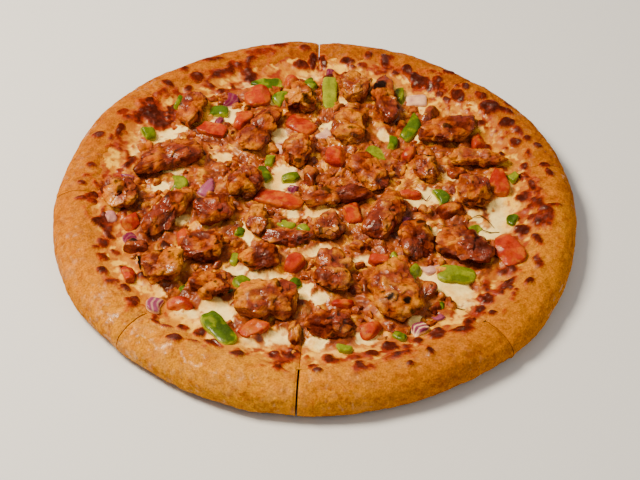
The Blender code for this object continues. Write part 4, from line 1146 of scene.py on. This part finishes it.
def makeHerbs():
    # a ring of points carried along a smooth path on the cheese, narrowing to its ends
    steps, sides = herbLook["steps"], herbLook["sides"]
    blocks = []
    for number, path in enumerate(herbLook["paths"]):
        spots = np.array(path, float)
        share = np.linspace(0, len(spots) - 1, steps)
        weight = bell(share[:, None], np.arange(len(spots)), herbLook["ease"])
        line = weight @ spots / weight.sum(axis=1)[:, None]
        line = flat(line[:, 0], line[:, 1], cheeseTop(line[:, 0], line[:, 1]) + herbLook["lift"])
        line[:, 2] += herbLook["sway"] * np.sin(share * 2.2 + number)
        way = np.gradient(line, axis=0)
        way /= np.linalg.norm(way, axis=1)[:, None]
        side = np.cross(way, (0, 0, 1))
        side /= np.linalg.norm(side, axis=1)[:, None]
        up = np.cross(side, way)
        turn = np.linspace(0, 2 * math.pi, sides, endpoint=False)
        radius = herbLook["radius"] * np.sqrt(np.sin(np.linspace(0.06, math.pi - 0.06, steps)))
        ring = side[:, None] * np.cos(turn)[:, None] + up[:, None] * np.sin(turn)[:, None]
        points = (line[:, None] + ring * radius[:, None, None]).reshape(-1, 3)
        corner = np.arange(len(points)).reshape(steps, sides)
        around = np.roll(corner, -1, axis=1)
        faces = np.stack([corner[:-1], around[:-1], around[1:], corner[1:]], axis=-1).reshape(-1, 4)
        purple = herbLook["purpleShare"] if number in herbLook["purplePaths"] else 0.0
        colours = mixIn(herbLook["colour"], herbLook["purple"], np.full(len(points), purple))
        blocks.append((points, faces, colours, herbLook["shine"]))
    points, faces, paint, shine = joinBlocks(blocks)
    for start in range(0, len(points), steps * sides):
        end = start + steps * sides
        faces.append(list(range(start, start + sides))[::-1])
        faces.append(list(range(end - sides, end)))
    makePiece("herbShreds", points, faces, paint, shine, "herb", "pepper")


for number in range(sliceCount):
    makeDough(number)
print("pan pizza: dough baked")
for number in range(sliceCount):
    makeCheese(number)
print("pan pizza: cheese melted")
makeToppings()
makeHerbs()
print("pan pizza: toppings laid")


# floor, light and camera: sizes and places of the floor and the lights in metres, the camera's in mm
studio = {
    "floor": (0.7, 0.75, 0.86), "floorHalf": 3.0, "floorRoughness": 0.7, "world": 0.36,
    "worldTone": (1.0, 0.9, 0.76), "tone": (1.0, 0.82, 0.56),
    "keyPower": 35, "keySize": 0.42, "keyAt": (-0.68, 0.12, 1.0),
    "fillPower": 4, "fillSize": 1.0, "fillAt": (0.9, -0.7, 0.9),
    "look": (2.88, -13.17, 0.0), "distance": 1157.6, "elevation": 0.7822, "roll": 0.01995, "lens": 112.5,
    "sensor": 36,
}


def makeFloor():
    # one square face
    half = studio["floorHalf"]
    mesh = bpy.data.meshes.new("floor")
    corners = [(-half, -half, 0), (half, -half, 0), (half, half, 0), (-half, half, 0)]
    mesh.from_pydata(corners, [], [(0, 1, 2, 3)])
    floor = bpy.data.objects.new("floor", mesh)
    bpy.context.scene.collection.objects.link(floor)
    material = bpy.data.materials.new("floorPaint")
    material.use_nodes = True
    shader = material.node_tree.nodes["Principled BSDF"]
    shader.inputs["Base Color"].default_value = (*studio["floor"], 1)
    shader.inputs["Roughness"].default_value = studio["floorRoughness"]
    mesh.materials.append(material)


def makeLight(name, power, size, place):
    # a square lamp that faces the pizza's middle
    light = bpy.data.lights.new(name, "AREA")
    light.color = studio["tone"]
    light.energy = power
    light.size = size
    lamp = bpy.data.objects.new(name, light)
    bpy.context.scene.collection.objects.link(lamp)
    lamp.location = place
    lamp.rotation_euler = (-lamp.location).to_track_quat("-Z", "Y").to_euler()


def makeCamera():
    # at its distance from the point it looks at, tilted down by the elevation and rolled a little
    camera = bpy.data.cameras.new("camera")
    camera.lens = studio["lens"]
    camera.sensor_width = studio["sensor"]
    eye = bpy.data.objects.new("camera", camera)
    bpy.context.scene.collection.objects.link(eye)
    x, y, z = studio["look"]
    reach = studio["distance"] * math.cos(studio["elevation"])
    rise = studio["distance"] * math.sin(studio["elevation"])
    eye.location = (x * mm, (y - reach) * mm, (z + rise) * mm)
    eye.rotation_mode = "XYZ"
    eye.rotation_euler = (math.pi / 2 - studio["elevation"], 0, 0)
    eye.rotation_euler.rotate_axis("Z", studio["roll"])
    bpy.context.scene.camera = eye


makeFloor()
makeLight("key", studio["keyPower"], studio["keySize"], studio["keyAt"])
makeLight("fill", studio["fillPower"], studio["fillSize"], studio["fillAt"])
makeCamera()
world = bpy.data.worlds.new("studio")
bpy.context.scene.world = world
world.use_nodes = True
world.node_tree.nodes["Background"].inputs["Color"].default_value = (*studio["worldTone"], 1)
world.node_tree.nodes["Background"].inputs["Strength"].default_value = studio["world"]

print("pan pizza: done")
